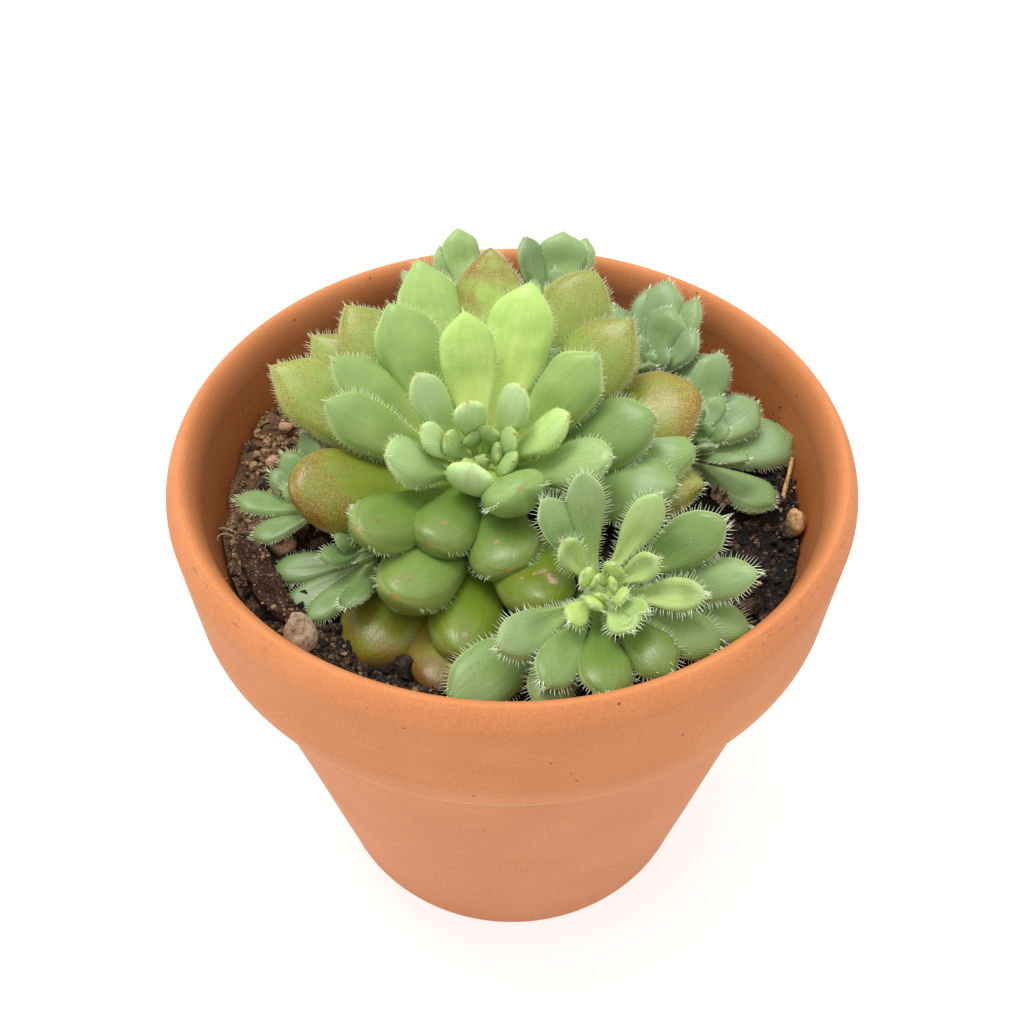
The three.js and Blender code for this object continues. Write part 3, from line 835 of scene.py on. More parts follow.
@dataclass(frozen=True)
class Soil:
    """The gritty potting mix, with its sizes in millimetres."""

    top: float = 75.4
    wave: float = 0.7
    ripple: float = 0.3
    clod_mm: float = 3.2
    clod_height: float = 1.2
    clump_mm: float = 7.5
    clump_height: float = 1.5
    clearance: float = 0.3
    edge_clearance: float = 0.5
    turns: int = 300
    rings: int = 62
    rings_crowding: float = 1.35
    clods: Crumbs = Crumbs("soil_clods", 700, 0.55, 0.36, (-0.2, 0.02), 2.0, 2)
    crumbs: Crumbs = Crumbs("soil_crumbs", 6000, 0.24, 0.17, (-0.24, 0.1), 0.8)
    grains: Crumbs = Crumbs("soil_grains", 900, 0.1, 0.09, (0.05, 0.35), 0.8)
    stuck: Crumbs = Crumbs("wall_crumbs", 110, 0.1, 0.09, (-0.2, 0.1))
    dry_side: float = 150.0
    dry_from: float = 18.0
    dry_tint: float = 0.15
    damp_tint: float = 0.06
    stuck_rise: float = 1.6
    stuck_sunk: float = 0.1
    seed: int = 11

    def height(self, x: float, y: float) -> float:
        """The height of the soil's surface over a point, in millimetres."""
        wave = math.sin(0.21 * x + 0.8) * math.cos(0.19 * y - 0.4)
        ripple = math.sin(0.62 * x - 0.35 * y) + math.sin(0.28 * x + 0.71 * y + 1.3)
        return self.top + self.wave * wave + self.ripple * ripple

    def dryness(self, x: np.ndarray, y: np.ndarray) -> np.ndarray:
        """How much lighter the soil is: it has dried at the left and is damp at the right."""
        side = math.radians(self.dry_side)
        reach = x * math.cos(side) + y * math.sin(side)
        dry = self.dry_tint * smoothstep(reach, self.dry_from, self.dry_from + 10)
        return dry - self.damp_tint * smoothstep(x, 0, 20)

    def crumbly(self, x: float, y: float) -> float:
        """The surface's height with its clods and crumbs, in millimetres."""
        clod = noise.fractal(Vector((x, y, 3.1)) / self.clod_mm, 0.6, 2.1, 5)
        clump = noise.noise(Vector((x, y, 9.4)) / self.clump_mm)
        return self.height(x, y) + self.clod_height * clod + self.clump_height * clump

    def build(self) -> bpy.types.Object:
        """Spins the fill's section and presses its top into clods."""
        outer = POT.wall_radius(self.top) - self.edge_clearance
        floor = POT.floor_thickness + self.clearance
        reach = [outer * (1 - (i / self.rings) ** self.rings_crowding) for i in range(self.rings)]
        section = [(0, floor), (POT.floor_radius - self.clearance, floor)]
        section += [(radius, self.top) for radius in (*reach, 0)]
        soil = spun([Vector((radius * MM, 0, height * MM)) for radius, height in section], self.turns)
        points = points_of(soil.data) / MM
        for point in points:
            if point[2] > self.top - 1:
                point[2] = self.crumbly(point[0], point[1])
        set_points(soil.data, points * MM)
        paint(soil.data, "tint", self.dryness(points[:, 0], points[:, 1]))
        smooth(soil, 50)
        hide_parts("soil")
        return settle(soil, "potting_mix", SOIL_MIX.material())

    def scatter(self) -> list[bpy.types.Object]:
        """Strews clods, crumbs and pale grains over the soil that shows, and a few up the wall."""
        draw = np.random.default_rng(self.seed)
        pieces = [self.strewn(kind, draw) for kind in (self.clods, self.crumbs, self.grains)]
        turn = draw.uniform(0, 2 * math.pi, self.stuck.count)
        height = self.top + draw.exponential(self.stuck_rise, self.stuck.count)
        radius = np.array([POT.wall_radius(h) for h in height]) - self.stuck_sunk
        spots = np.stack([radius * np.cos(turn), radius * np.sin(turn), height], axis=1)
        return [*pieces, self.stuck.piece(spots, self.stuck.sizes(draw), self.stuck.tints(draw), draw)]

    def strewn(self, kind: Crumbs, draw: np.random.Generator) -> bpy.types.Object:
        """Strews crumbs of one kind on the soil's surface.

        Args:
            kind: The crumbs.
            draw: The random numbers.

        Returns:
            The piece.
        """
        sizes = kind.sizes(draw)
        edge = POT.wall_radius(self.top) - self.clearance
        radius = (edge - 0.8 * sizes) * np.sqrt(draw.uniform(0.3, 1, kind.count))
        turn = draw.uniform(0, 2 * math.pi, kind.count)
        x, y = radius * np.cos(turn), radius * np.sin(turn)
        z = [self.crumbly(*spot) for spot in zip(x, y)] + draw.uniform(-0.1, 0.5, kind.count) * sizes
        tints = kind.tints(draw) + self.dryness(x, y)
        return kind.piece(np.stack([x, y, z], axis=1), sizes, tints, draw)


SOIL = Soil()


class Look(Enum):
    """How a leaf has coloured, each from 0 to 1: sun with painted light, wax, ripeness, bloom, speckles,
    rust.
    """

    BRIGHT = (1.0, 0.0, 0.0, 0.0, 0.0, 0.0)
    FRESH = (0.75, 0.15, 0.0, 0.1, 0.0, 0.0)
    TENDER = (0.75, 0.0, 0.0, 0.4, 0.0, 0.0)
    GREEN = (0.35, 0.25, 0.0, 0.15, 0.0, 0.0)
    HEART = (0.6, 0.0, 0.0, 0.9, 0.0, 0.0)
    BUD = (0.2, 0.25, 0.0, 0.45, 0.0, 0.0)
    PALE = (0.1, 0.1, 0.0, 0.5, 0.0, 0.0)
    MATT = (0.1, 0.25, 0.0, 0.18, 0.0, 0.0)
    DEEP = (0.0, 0.75, 0.0, 0.1, 0.1, 0.0)
    GLOSSY = (0.0, 1.0, 0.1, 0.0, 0.1, 0.0)
    FRECKLED = (0.5, 0.2, 0.4, 0.0, 0.75, 0.45)
    GOLDEN = (0.0, 0.3, 0.8, 0.0, 1.0, 0.75)
    RED_TIPPED = (0.7, 0.0, 0.3, 0.0, 0.8, 1.0)
    PATCHED = (0.0, 0.5, 0.6, 0.0, 0.8, 0.85)
    OLIVE = (0.0, 1.0, 0.3, 0.0, 0.12, 0.8)
    RUSTY = (0.0, 0.5, 0.9, 0.0, 0.1, 1.0)


class Fringe(Enum):
    """How a leaf is haired: spacing on its edges and length in millimetres, then hairs at its tip,
    hairs on a square centimetre of its faces, and how yellow they are.
    """

    NONE = (0.0, 0.0, 0, 0, 0.0)
    TUFT = (0.8, 0.7, 20, 0, 1.0)
    SHORT = (0.36, 0.95, 8, 0, 0.25)
    DENSE = (0.32, 1.0, 8, 3, 0.1)
    FELT = (0.3, 0.85, 9, 45, 0.05)
    LONG = (0.42, 1.25, 14, 26, 0.05)


class Tip(Enum):
    """How a leaf is drawn: how long its shoulders stay wide, how fast it then closes, the share of
    its length that is its neck, the share of its thickness that is above its edges, and its nib.
    """

    POINTED = (2.8, 0.92, 0.12, 0.48, 0.25)
    SPOON = (2.5, 0.6, 0.2, 0.48, 0.2)
    BLUNT = (2.0, 0.5, -0.15, 0.4, 0.0)


@dataclass(frozen=True)
class Scar:
    """A corky mark on a leaf: its share of the length, its place across from -1 to 1, its size in
    millimetres, how well its middle has healed, and whether it is on the upper face.
    """

    along: float
    across: float
    size: float
    healed: float
    upper: bool = False


@dataclass(frozen=True)
class Leaf:
    """A leaf: its turn about the stem, its angle from the stem's line, and its size in millimetres."""

    turn: float
    opening: float
    length: float
    width: float
    look: Look | None = None
    fringe: Fringe | None = None
    scars: tuple[Scar, ...] = ()

    def chance(self, salt: float = 0.0) -> float:
        """A number from 0 to 1 that is the leaf's own."""
        return math.sin(12.9898 * self.turn + 78.233 * self.length + 37.7 * salt) * 43758.5453 % 1


@dataclass(frozen=True)
class Whorl:
    """Leaves that share a bend in degrees, a thickness for their width, and an end.

    The upper face is hollowed by a share of the thickness, up to a share of the length.
    """

    curl: float
    thickness: float
    tip: Tip
    look: Look
    fringe: Fringe
    leaves: tuple[Leaf, ...]
    hollow: float = 0.22
    hollow_to: float = 0.62
    # Leaves bent further than this get the painted highlight along the keel.
    keel_highlight_curl: float = 90

    @property
    def plump(self) -> bool:
        """Whether the leaves are plump, with a blunt end."""
        return self.tip is Tip.BLUNT

    @property
    def keel_highlighted(self) -> bool:
        """Whether a painted highlight runs along the keel below: plump leaves, and those that bend right
        over.
        """
        return self.plump or self.curl > self.keel_highlight_curl


def ring(count: int, first_turn: float, opening: float, length: float, width: float) -> tuple[Leaf, ...]:
    """Evenly spaced leaves about a stem."""
    return tuple(Leaf(first_turn + 360 * i / count, opening, length, width) for i in range(count))


@dataclass(frozen=True)
class LeafShape:
    """The form that all leaves share: a blade with a lens for its section, along a bent line."""

    widest_at: float = 0.72
    root_width: float = 0.32
    root_thickness: float = 0.6
    squareness: float = 0.88
    nib_from: float = 0.5
    hollow_width: float = 0.5
    hollow_rise: tuple[float, float] = (0.06, 0.3)
    ridge_width: float = 0.16
    ridge_depth: float = 0.05
    ridge_rise: tuple[float, float] = (0.45, 0.8)
    ridge_fall: tuple[float, float] = (0.9, 1)
    # Where the painted highlight along the keel below lies and fades.
    keel_highlight_width: float = 0.12
    keel_highlight_rise: tuple[float, float] = (0.5, 0.75)
    keel_highlight_fall: tuple[float, float] = (0.93, 0.98)
    dot_from: tuple[float, float] = (0.9965, 0.9985)
    sway: float = 0.02
    roll: float = 12.0
    ripple_mm: float = 5.5
    ripple_depth: float = 0.24
    broad: float = 9.0
    keel_highlight_strength: float = 0.55
    dot_strength: float = 0.9
    least_thin: float = 0.35
    around: int = 24
    along: int = 30
    tip_crowding: float = 1.7

    def outline(self, share: np.ndarray, tip: Tip) -> np.ndarray:
        """The half-width, as a share of its greatest, at shares of the length."""
        shoulder, close, neck, _, nib = tip.value
        rise = self.root_width + (1 - self.root_width) * smoothstep(share, neck, self.widest_at)
        past = np.clip((share - self.widest_at) / (1 - self.widest_at), 0, 1)
        fall = (1 - past**shoulder) ** close * (1 - nib * smoothstep(past, self.nib_from, 1))
        return np.where(share < self.widest_at, rise, fall + 0.4 * nib * past**4 * np.sqrt(1 - past))

    def fullness(self, share: np.ndarray) -> np.ndarray:
        """The thickness, as a share of its greatest, at shares of the length."""
        rise = self.root_thickness + (1 - self.root_thickness) * share / self.widest_at
        past = np.clip((share - self.widest_at) / (1 - self.widest_at), 0, 1)
        return np.where(share < self.widest_at, rise, np.sqrt(1 - past**2))

    def surface(self, leaf: Leaf, whorl: Whorl, share: np.ndarray, turn: np.ndarray) -> np.ndarray:
        """Points of a leaf's skin in its own axes: it grows along +Z and its upper face is +Y.

        Args:
            leaf: The leaf.
            whorl: The whorl that it grows in.
            share: For each point, its share of the length.
            turn: For each point, its angle round the section: 0 and pi are the two edges.

        Returns:
            Rows of x, y and z in millimetres.
        """
        bend = math.radians(whorl.curl)
        radius = leaf.length / bend
        angle = bend * share
        half = leaf.width / 2 * self.outline(share, whorl.tip)
        depth = leaf.width * whorl.thickness * self.fullness(share)
        upper = np.sin(turn) > 0
        above = whorl.tip.value[3]
        rise, side = (np.sign(way) * np.abs(way) ** self.squareness for way in (np.sin(turn), np.cos(turn)))
        hollow = between(share, self.hollow_rise, (whorl.hollow_to - 0.2, whorl.hollow_to + 0.1))
        hollow = whorl.hollow * bell(np.cos(turn), self.hollow_width) * hollow
        ridge = bell(np.cos(turn), self.ridge_width) * between(share, self.ridge_rise, self.ridge_fall)
        lift = depth * np.where(upper, above, 1 - above) * rise
        lift = lift - depth * np.where(upper, hollow, self.ridge_depth * ridge)
        side = half * side
        roll = math.radians(self.roll) * (2 * leaf.chance(1) - 1) * share
        side, lift = side * np.cos(roll) - lift * np.sin(roll), side * np.sin(roll) + lift * np.cos(roll)
        side = side + self.sway * leaf.length * (2 * leaf.chance(2) - 1) * share**2
        y = radius * (1 - np.cos(angle)) + lift * np.cos(angle)
        z = radius * np.sin(angle) - lift * np.sin(angle)
        return np.stack([side, y, z], axis=1)

    def outward(
        self, leaf: Leaf, whorl: Whorl, share: np.ndarray, turn: np.ndarray
    ) -> tuple[np.ndarray, np.ndarray]:
        """The skin's outward direction and the direction towards the leaf's end, at each point."""
        step = 0.002
        at = self.surface(leaf, whorl, share, turn)
        ahead = self.surface(leaf, whorl, share + step, turn) - at
        about = self.surface(leaf, whorl, share, turn + step) - at
        out = np.cross(about, ahead)
        lengths = (np.maximum(np.linalg.norm(way, axis=1, keepdims=True), 1e-12) for way in (out, ahead))
        return tuple(way / length for way, length in zip((out, ahead), lengths))

    def blank(self) -> tuple[bpy.types.Object, np.ndarray, np.ndarray]:
        """Models the one leaf that all are copied from: a ball with its poles at the root and tip.

        Returns:
            The ball, and for each of its vertices the share of the length and the angle round.
        """
        deselect()
        bpy.ops.mesh.primitive_uv_sphere_add(segments=self.around, ring_count=self.along, radius=1)
        ball = bpy.context.object
        x, y, z = points_of(ball.data).T
        way = np.arccos(np.clip(-z, -1, 1)) / math.pi
        return ball, 1 - (1 - way) ** self.tip_crowding, np.arctan2(y, x)


SHAPE = LeafShape()


@dataclass(frozen=True)
class Rosette:
    """A plant of leaves about a stem, with its sizes in millimetres and its angles in degrees."""

    name: str
    slot: str
    skin: LeafSkin
    heart: tuple[float, float, float]
    lean: float
    lean_to: float
    stem_radius: float
    stem_length: float
    drop: float
    whorls: tuple[Whorl, ...]
    stem_steps: int = 20
    stem_flare: float = 1.2
    stem_bevel: float = 0.4
    stem_below_heart: float = 2.75
    stem_below_soil: float = 1.25

    def axes(self) -> Matrix:
        """From the rosette's own axes, with +Z up its stem, to the pot's."""
        tilt, bearing = math.radians(self.lean), math.radians(self.lean_to)
        out, rise = math.sin(tilt), math.cos(tilt)
        up = Vector((out * math.cos(bearing), out * math.sin(bearing), rise))
        across = (Vector((1, 0, 0)) - up * up.x).normalized()
        away = up.cross(across)
        matrix = Matrix((across, away, up)).transposed().to_4x4()
        matrix.translation = Vector(self.heart)
        return matrix

    def place(self, leaf: Leaf) -> Matrix:
        """From a leaf's own axes to the pot's."""
        root = Vector((self.stem_radius / 2, 0, -self.drop * leaf.length**2))
        turn = Matrix.Rotation(math.radians(leaf.turn), 4, "Z")
        opening = Matrix.Rotation(math.radians(leaf.opening), 4, "Y")
        return self.axes() @ turn @ Matrix.Translation(root) @ opening @ Matrix.Rotation(math.pi / 2, 4, "Z")

    def leaves(self) -> list[tuple[Leaf, Whorl]]:
        """Every leaf with its whorl."""
        return [(leaf, whorl) for whorl in self.whorls for leaf in whorl.leaves]

    def carry(self, leaf: Leaf, points: np.ndarray) -> np.ndarray:
        """Moves points of a leaf from its own axes to the pot's, in metres."""
        matrix = np.array(self.place(leaf))
        return (points @ matrix[:3, :3].T + matrix[:3, 3]) * MM

    def build(self) -> list[bpy.types.Object]:
        """Copies the blank leaf for each leaf, shapes it, and joins all to the stem."""
        blank, share, turn = SHAPE.blank()
        made = [self.stem()]
        for leaf, whorl in self.leaves():
            thing = blank.copy()
            thing.data = blank.data.copy()
            bpy.context.scene.collection.objects.link(thing)
            self.shape(thing.data, leaf, whorl, share, turn)
            made.append(thing)
        bpy.data.objects.remove(blank)
        plant = joined(made)
        smooth(plant)
        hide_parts(self.name)
        return [settle(plant, self.name + "_leaves", self.skin.material()), self.hairs()]

    def shape(
        self, mesh: bpy.types.Mesh, leaf: Leaf, whorl: Whorl, share: np.ndarray, turn: np.ndarray
    ) -> None:
        """Bends and fills one copy of the blank leaf, and marks it for its skin.

        Args:
            mesh: The copy's mesh.
            leaf: The leaf that it becomes.
            whorl: The leaf's whorl.
            share: The vertices' shares of the length.
            turn: The vertices' angles round the section.
        """
        points = self.carry(leaf, SHAPE.surface(leaf, whorl, share, turn))
        depth = SHAPE.ripple_depth * MM * min(1, leaf.width / SHAPE.broad)
        points = roughened(points, SHAPE.ripple_mm * MM, depth, leaf.chance())
        set_points(mesh, inside_box(points))
        sun, wax, ripeness, bloom, speckles, rust = (leaf.look or whorl.look).value
        # A painted highlight along the keel below, on plump leaves and those bent right over.
        below = smoothstep(-np.sin(turn), 0.9, 1) * bell(np.cos(turn), SHAPE.keel_highlight_width) * whorl.keel_highlighted
        keel_highlight = SHAPE.keel_highlight_strength * below * between(share, SHAPE.keel_highlight_rise, SHAPE.keel_highlight_fall)
        dot = SHAPE.dot_strength * smoothstep(share, *SHAPE.dot_from) * (whorl.fringe is not Fringe.TUFT)
        thin = max(SHAPE.least_thin, float(smoothstep(-whorl.thickness, -0.6, -0.45)))
        ones = np.ones(len(share))
        for name, columns in (
            ("on_leaf", (share, np.cos(turn), thin * ones)),
            ("state", (sun * ones, wax * ones, ripeness * ones)),
            ("wear", (bloom * ones, speckles * ones, rust * ones)),
            ("marks", (keel_highlight, dot, leaf.chance() * ones)),
            ("scar", self.scarred(leaf, whorl, share, turn)),
        ):
            paint(mesh, name, np.stack(columns, axis=1))

    def scarred(
        self, leaf: Leaf, whorl: Whorl, share: np.ndarray, turn: np.ndarray
    ) -> tuple[np.ndarray, ...]:
        """How far each point is from the nearest scar's middle, in the scar's own size.

        Args:
            leaf: The leaf.
            whorl: The leaf's whorl.
            share: The vertices' shares of the length.
            turn: The vertices' angles round the section.

        Returns:
            The way along the leaf, the way across it, and how well the scar has healed.
        """
        far = np.full(len(share), 9.0)
        along, across, healed = far.copy(), far.copy(), np.zeros(len(share))
        nearest = 2 * far**2
        half = leaf.width / 2 * SHAPE.outline(share, whorl.tip)
        for scar in leaf.scars:
            same_face = (np.sin(turn) > 0) == scar.upper
            dx = np.where(same_face, (share - scar.along) * leaf.length / scar.size, far)
            dy = np.where(same_face, half * (np.cos(turn) - scar.across) / scar.size, far)
            closer = dx**2 + dy**2 < nearest
            nearest = np.where(closer, dx**2 + dy**2, nearest)
            along, across = np.where(closer, dx, along), np.where(closer, dy, across)
            healed = np.where(closer, scar.healed, healed)
        return np.clip(along, -9, 9), np.clip(across, -9, 9), healed

    def stem(self) -> bpy.types.Object:
        """The stem: a short taper that stands in the soil under the leaves."""
        radius, top = self.stem_radius * MM, self.stem_below_heart
        foot = self.stem_length + self.stem_below_soil
        deselect()
        bpy.ops.mesh.primitive_cone_add(
            vertices=self.stem_steps,
            radius1=self.stem_flare * radius,
            radius2=radius,
            depth=(foot - top) * MM,
        )
        stem = bpy.context.object
        bpy.ops.object.mode_set(mode="EDIT")
        bpy.ops.mesh.select_all(action="SELECT")
        bpy.ops.mesh.bevel(offset=self.stem_bevel * MM, segments=2)
        bpy.ops.object.mode_set(mode="OBJECT")
        points = points_of(stem.data) / MM
        points[:, 2] -= (foot + top) / 2
        matrix = np.array(self.axes())
        set_points(stem.data, (points @ matrix[:3, :3].T + matrix[:3, 3]) * MM)
        for name, row in (("on_leaf", (0.1, 0, 0)), ("scar", (9, 9, 0))):
            paint(stem.data, name, np.tile(row, (len(points), 1)))
        for name in ("state", "wear", "marks"):
            paint(stem.data, name, np.zeros((len(points), 3)))
        return stem

    def hairs(self) -> bpy.types.Object:
        """Sets hairs along the edges of the leaves, at their tips and on their faces."""
        brush = Brush(self, np.random.default_rng(len(self.name)))
        for leaf, whorl in self.leaves():
            if (leaf.fringe or whorl.fringe) is not Fringe.NONE:
                brush.comb(leaf, whorl)
        hairs = brush.piece()
        return settle(hairs, self.name + "_hairs", LeafHair().material())


class Brush:
    """Grows a rosette's hairs: each a tapered three-sided spine with a slight bend."""

    THICK_MM = 0.05
    SUNK_MM = 0.1
    BEND_AT = 0.5
    BEND_SIZE = 0.75
    SIDES = 3
    EDGE_STEPS = 240
    EDGE_FROM = 0.12
    EDGE_TO = 0.985
    PLUMP_EDGE_TO = 0.96
    PLUMP_UNDER = math.radians(-12)

    def __init__(self, rosette: Rosette, draw: np.random.Generator) -> None:
        """Starts with no hairs.

        Args:
            rosette: The plant that the hairs grow on.
            draw: The plant's random numbers.
        """
        self.rosette = rosette
        self.draw = draw
        self.points: list[np.ndarray] = []
        self.youth: list[np.ndarray] = []

    def comb(self, leaf: Leaf, whorl: Whorl) -> None:
        """Grows one leaf's hairs: along its two edges, at its tip and over its faces.

        Args:
            leaf: The leaf.
            whorl: The leaf's whorl.
        """
        spacing, length, tuft, fuzz, youth = (leaf.fringe or whorl.fringe).value
        under, end = 0.0, self.EDGE_TO
        if whorl.plump:
            tuft = fuzz = 0
            under, end = self.PLUMP_UNDER, self.PLUMP_EDGE_TO
        for edge in (under, math.pi - under):
            share = np.linspace(self.EDGE_FROM, end, self.EDGE_STEPS)
            line = SHAPE.surface(leaf, whorl, share, np.full(len(share), edge))
            run = np.concatenate([[0], np.cumsum(np.linalg.norm(np.diff(line, axis=0), axis=1))])
            spots = np.cumsum(spacing * self.draw.uniform(0.7, 1.35, int(run[-1] / spacing)))
            share = np.interp(spots[spots < run[-1]], run, share)
            turn = edge + self.draw.normal(0, 0.07, len(share))
            reach = length * self.draw.uniform(0.6, 1.15, len(share)) * (0.55 + 0.45 * share)
            self.grow(leaf, whorl, share, turn, reach, 0.2, 0.6 * youth)
        share = 1 - 0.035 * self.draw.random(tuft) ** 2
        turn = self.draw.uniform(0, 2 * math.pi, tuft)
        self.grow(leaf, whorl, share, turn, max(length, 0.6) * self.draw.uniform(0.7, 1.15, tuft), 0.9, youth)
        count = int(fuzz * leaf.length * leaf.width / 100)
        share, turn = self.draw.uniform(0.2, 0.97, count), self.draw.uniform(0, 2 * math.pi, count)
        self.grow(leaf, whorl, share, turn, length * self.draw.uniform(0.3, 0.65, count), 0.5, youth)

    def grow(
        self,
        leaf: Leaf,
        whorl: Whorl,
        share: np.ndarray,
        turn: np.ndarray,
        length: np.ndarray,
        forward: float,
        youth: float,
    ) -> None:
        """Grows hairs at given places on a leaf's skin.

        Args:
            leaf: The leaf.
            whorl: The leaf's whorl.
            share: The hairs' shares of the leaf's length.
            turn: The hairs' angles round the leaf's section.
            length: The hairs' lengths in millimetres.
            forward: How much they lean towards the leaf's end.
            youth: 0 for white, 1 for yellow.
        """
        if not len(share):
            return
        out, ahead = SHAPE.outward(leaf, whorl, np.minimum(share, 0.997), turn)
        way = out + forward * ahead + self.draw.normal(0, 0.1, out.shape)
        way /= np.linalg.norm(way, axis=1, keepdims=True)
        root = SHAPE.surface(leaf, whorl, share, turn) - self.SUNK_MM * way
        length = (length + self.SUNK_MM)[:, None]
        sag = self.draw.normal(0, 0.09, out.shape) * length
        side = np.cross(way, (0.3, 0.5, 0.81))
        side /= np.linalg.norm(side, axis=1, keepdims=True)
        other = np.cross(way, side)
        rows = []
        for along, size in ((0.0, 1.0), (self.BEND_AT, self.BEND_SIZE)):
            centre = root + along * length * way + sag * along**2
            for i in range(self.SIDES):
                a = 2 * math.pi * i / self.SIDES
                rows.append(centre + self.THICK_MM * size * (side * math.cos(a) + other * math.sin(a)))
        rows.append(root + length * way + sag)
        points = np.stack(rows, axis=1).reshape(-1, 3)
        self.points.append(self.rosette.carry(leaf, points))
        self.youth.append(np.full(len(points), youth))

    def piece(self) -> bpy.types.Object:
        """Makes one mesh of all the hairs."""
        points = inside_box(np.vstack(self.points))
        faces = []
        for root in range(0, len(points), 2 * self.SIDES + 1):
            bend, tip = root + self.SIDES, root + 2 * self.SIDES
            faces.append((root + 2, root + 1, root))
            for i in range(self.SIDES):
                j = (i + 1) % self.SIDES
                faces.append((root + i, root + j, bend + j, bend + i))
                faces.append((bend + i, bend + j, tip))
        mesh = bpy.data.meshes.new("hairs")
        mesh.from_pydata(points.tolist(), [], faces)
        paint(mesh, "youth", np.concatenate(self.youth))
        hairs = bpy.data.objects.new("hairs", mesh)
        bpy.context.scene.collection.objects.link(hairs)
        return hairs


MOTHER = Rosette(
    name="mother_rosette",
    slot="leaf_green",
    skin=GREEN_SKIN,
    heart=(-4.4, -6.3, 88),
    lean=24,
    lean_to=270,
    stem_radius=3.2,
    stem_length=22,
    drop=0.01,
    whorls=(
        Whorl(
            10, 0.5, Tip.SPOON, Look.BUD, Fringe.TUFT,
            (
                Leaf(67, 20, 6, 3.6), Leaf(17, 30, 8, 4), Leaf(333, 33, 7.5, 4), Leaf(168, 28, 8, 3.8),
                *ring(3, 120, 15, 5, 3.2),
            ),
        ),
        # The heart's pale, sunny looks are partly painted light against the shade among the leaves.
        Whorl(95, 0.42, Tip.POINTED, Look.HEART, Fringe.TUFT, (Leaf(256, 60, 12, 7),), 0.1),
        Whorl(
            15, 0.45, Tip.SPOON, Look.HEART, Fringe.TUFT,
            (
                Leaf(106, 27, 11, 4.7), Leaf(47, 35, 15, 5.2), Leaf(138, 43, 17.5, 5.4),
                Leaf(10, 46, 17, 5.4, Look.TENDER), Leaf(172, 39, 12, 4.4),
            ),
        ),
        Whorl(
            14, 0.5, Tip.POINTED, Look.BRIGHT, Fringe.SHORT,
            (
                Leaf(74, 62, 29, 10), Leaf(98, 55, 23, 8.2), Leaf(122, 66, 28, 10, Look.GREEN),
                Leaf(36, 58, 24, 9, Look.GREEN), Leaf(148, 65, 27, 8, Look.GREEN),
                Leaf(167, 61, 25, 7.8, Look.GREEN, Fringe.DENSE),
            ),
            0.3,
        ),
        Whorl(
            14, 0.5, Tip.SPOON, Look.MATT, Fringe.DENSE,
            (
                Leaf(11, 70, 26, 10.2), Leaf(351, 58, 21, 7.6, Look.BUD), Leaf(196, 49, 16.5, 7.2, Look.BUD),
                Leaf(350, 76, 28, 10.5), Leaf(5, 80, 30.5, 10.5),
            ),
            0.25,
        ),
        Whorl(
            10, 0.5, Tip.POINTED, Look.BRIGHT, Fringe.SHORT,
            (
                Leaf(108, 66, 34.5, 10, Look.FRESH), Leaf(88, 66, 35.5, 10.6, Look.RED_TIPPED),
                Leaf(43, 66, 32, 11.4, Look.FRECKLED), Leaf(154, 73, 35, 11.5, Look.FRECKLED),
            ),
        ),
        Whorl(
            12, 0.5, Tip.SPOON, Look.GOLDEN, Fringe.SHORT,
            (Leaf(61, 71, 36, 12.4, Look.FRECKLED), Leaf(20, 77, 34, 14.4)),
        ),
        Whorl(
            30, 0.64, Tip.BLUNT, Look.DEEP, Fringe.DENSE,
            (
                Leaf(304, 47, 16, 9, Look.MATT, scars=(Scar(0.72, -0.1, 0.45, 0.3, True),)),
                Leaf(221, 62, 26.5, 9, scars=(Scar(0.9, 0, 0.5, 0, True),)),
                Leaf(246, 74, 16.5, 9.6, scars=(Scar(0.82, 0.1, 0.5, 0.4, True),)),
                Leaf(
                    284, 78, 18.5, 10,
                    scars=(Scar(0.8, -0.1, 0.5, 0.5, True), Scar(0.62, 0.5, 0.6, 0, True)),
                ),
            ),
            0,
        ),
        Whorl(
            25, 0.6, Tip.BLUNT, Look.RUSTY, Fringe.NONE,
            (Leaf(195, 72, 28.5, 12.5, Look.PATCHED), Leaf(260, 80, 34.5, 11)),
            0,
        ),
        Whorl(
            32, 0.68, Tip.BLUNT, Look.GLOSSY, Fringe.NONE,
            (
                Leaf(
                    246, 73, 27.5, 11, Look.DEEP, Fringe.SHORT,
                    (Scar(0.9, 0, 0.45, 0.3, True), Scar(0.95, -0.3, 0.4, 0.4, True)),
                ),
                Leaf(265, 82, 30, 10.8, scars=(Scar(0.93, 0, 0.5, 0.5, True),)),
                Leaf(
                    292, 76, 27, 10.6,
                    scars=(
                        Scar(0.82, 0.1, 0.8, 1, True),
                        Scar(0.9, 0.3, 0.7, 1, True),
                        Scar(0.82, -0.4, 0.5, 1, True),
                    ),
                ),
                Leaf(
                    240, 88, 32.5, 14.2, Look.OLIVE,
                    scars=(Scar(0.86, -0.4, 0.4, 0.3, True), Scar(0.84, 0.3, 0.45, 0, True)),
                ),
            ),
            0,
        ),
        Whorl(
            8, 0.5, Tip.POINTED, Look.MATT, Fringe.SHORT,
            (
                Leaf(130, 72, 32.5, 11, Look.FRECKLED), Leaf(140, 77, 33, 10, Look.FRECKLED),
                Leaf(141, 83, 30.5, 9), Leaf(357, 82, 31.5, 11, Look.FRECKLED),
                Leaf(56, 84, 26, 10), Leaf(80, 84, 26, 10), Leaf(104, 84, 26, 10),
            ),
        ),
    ),
)

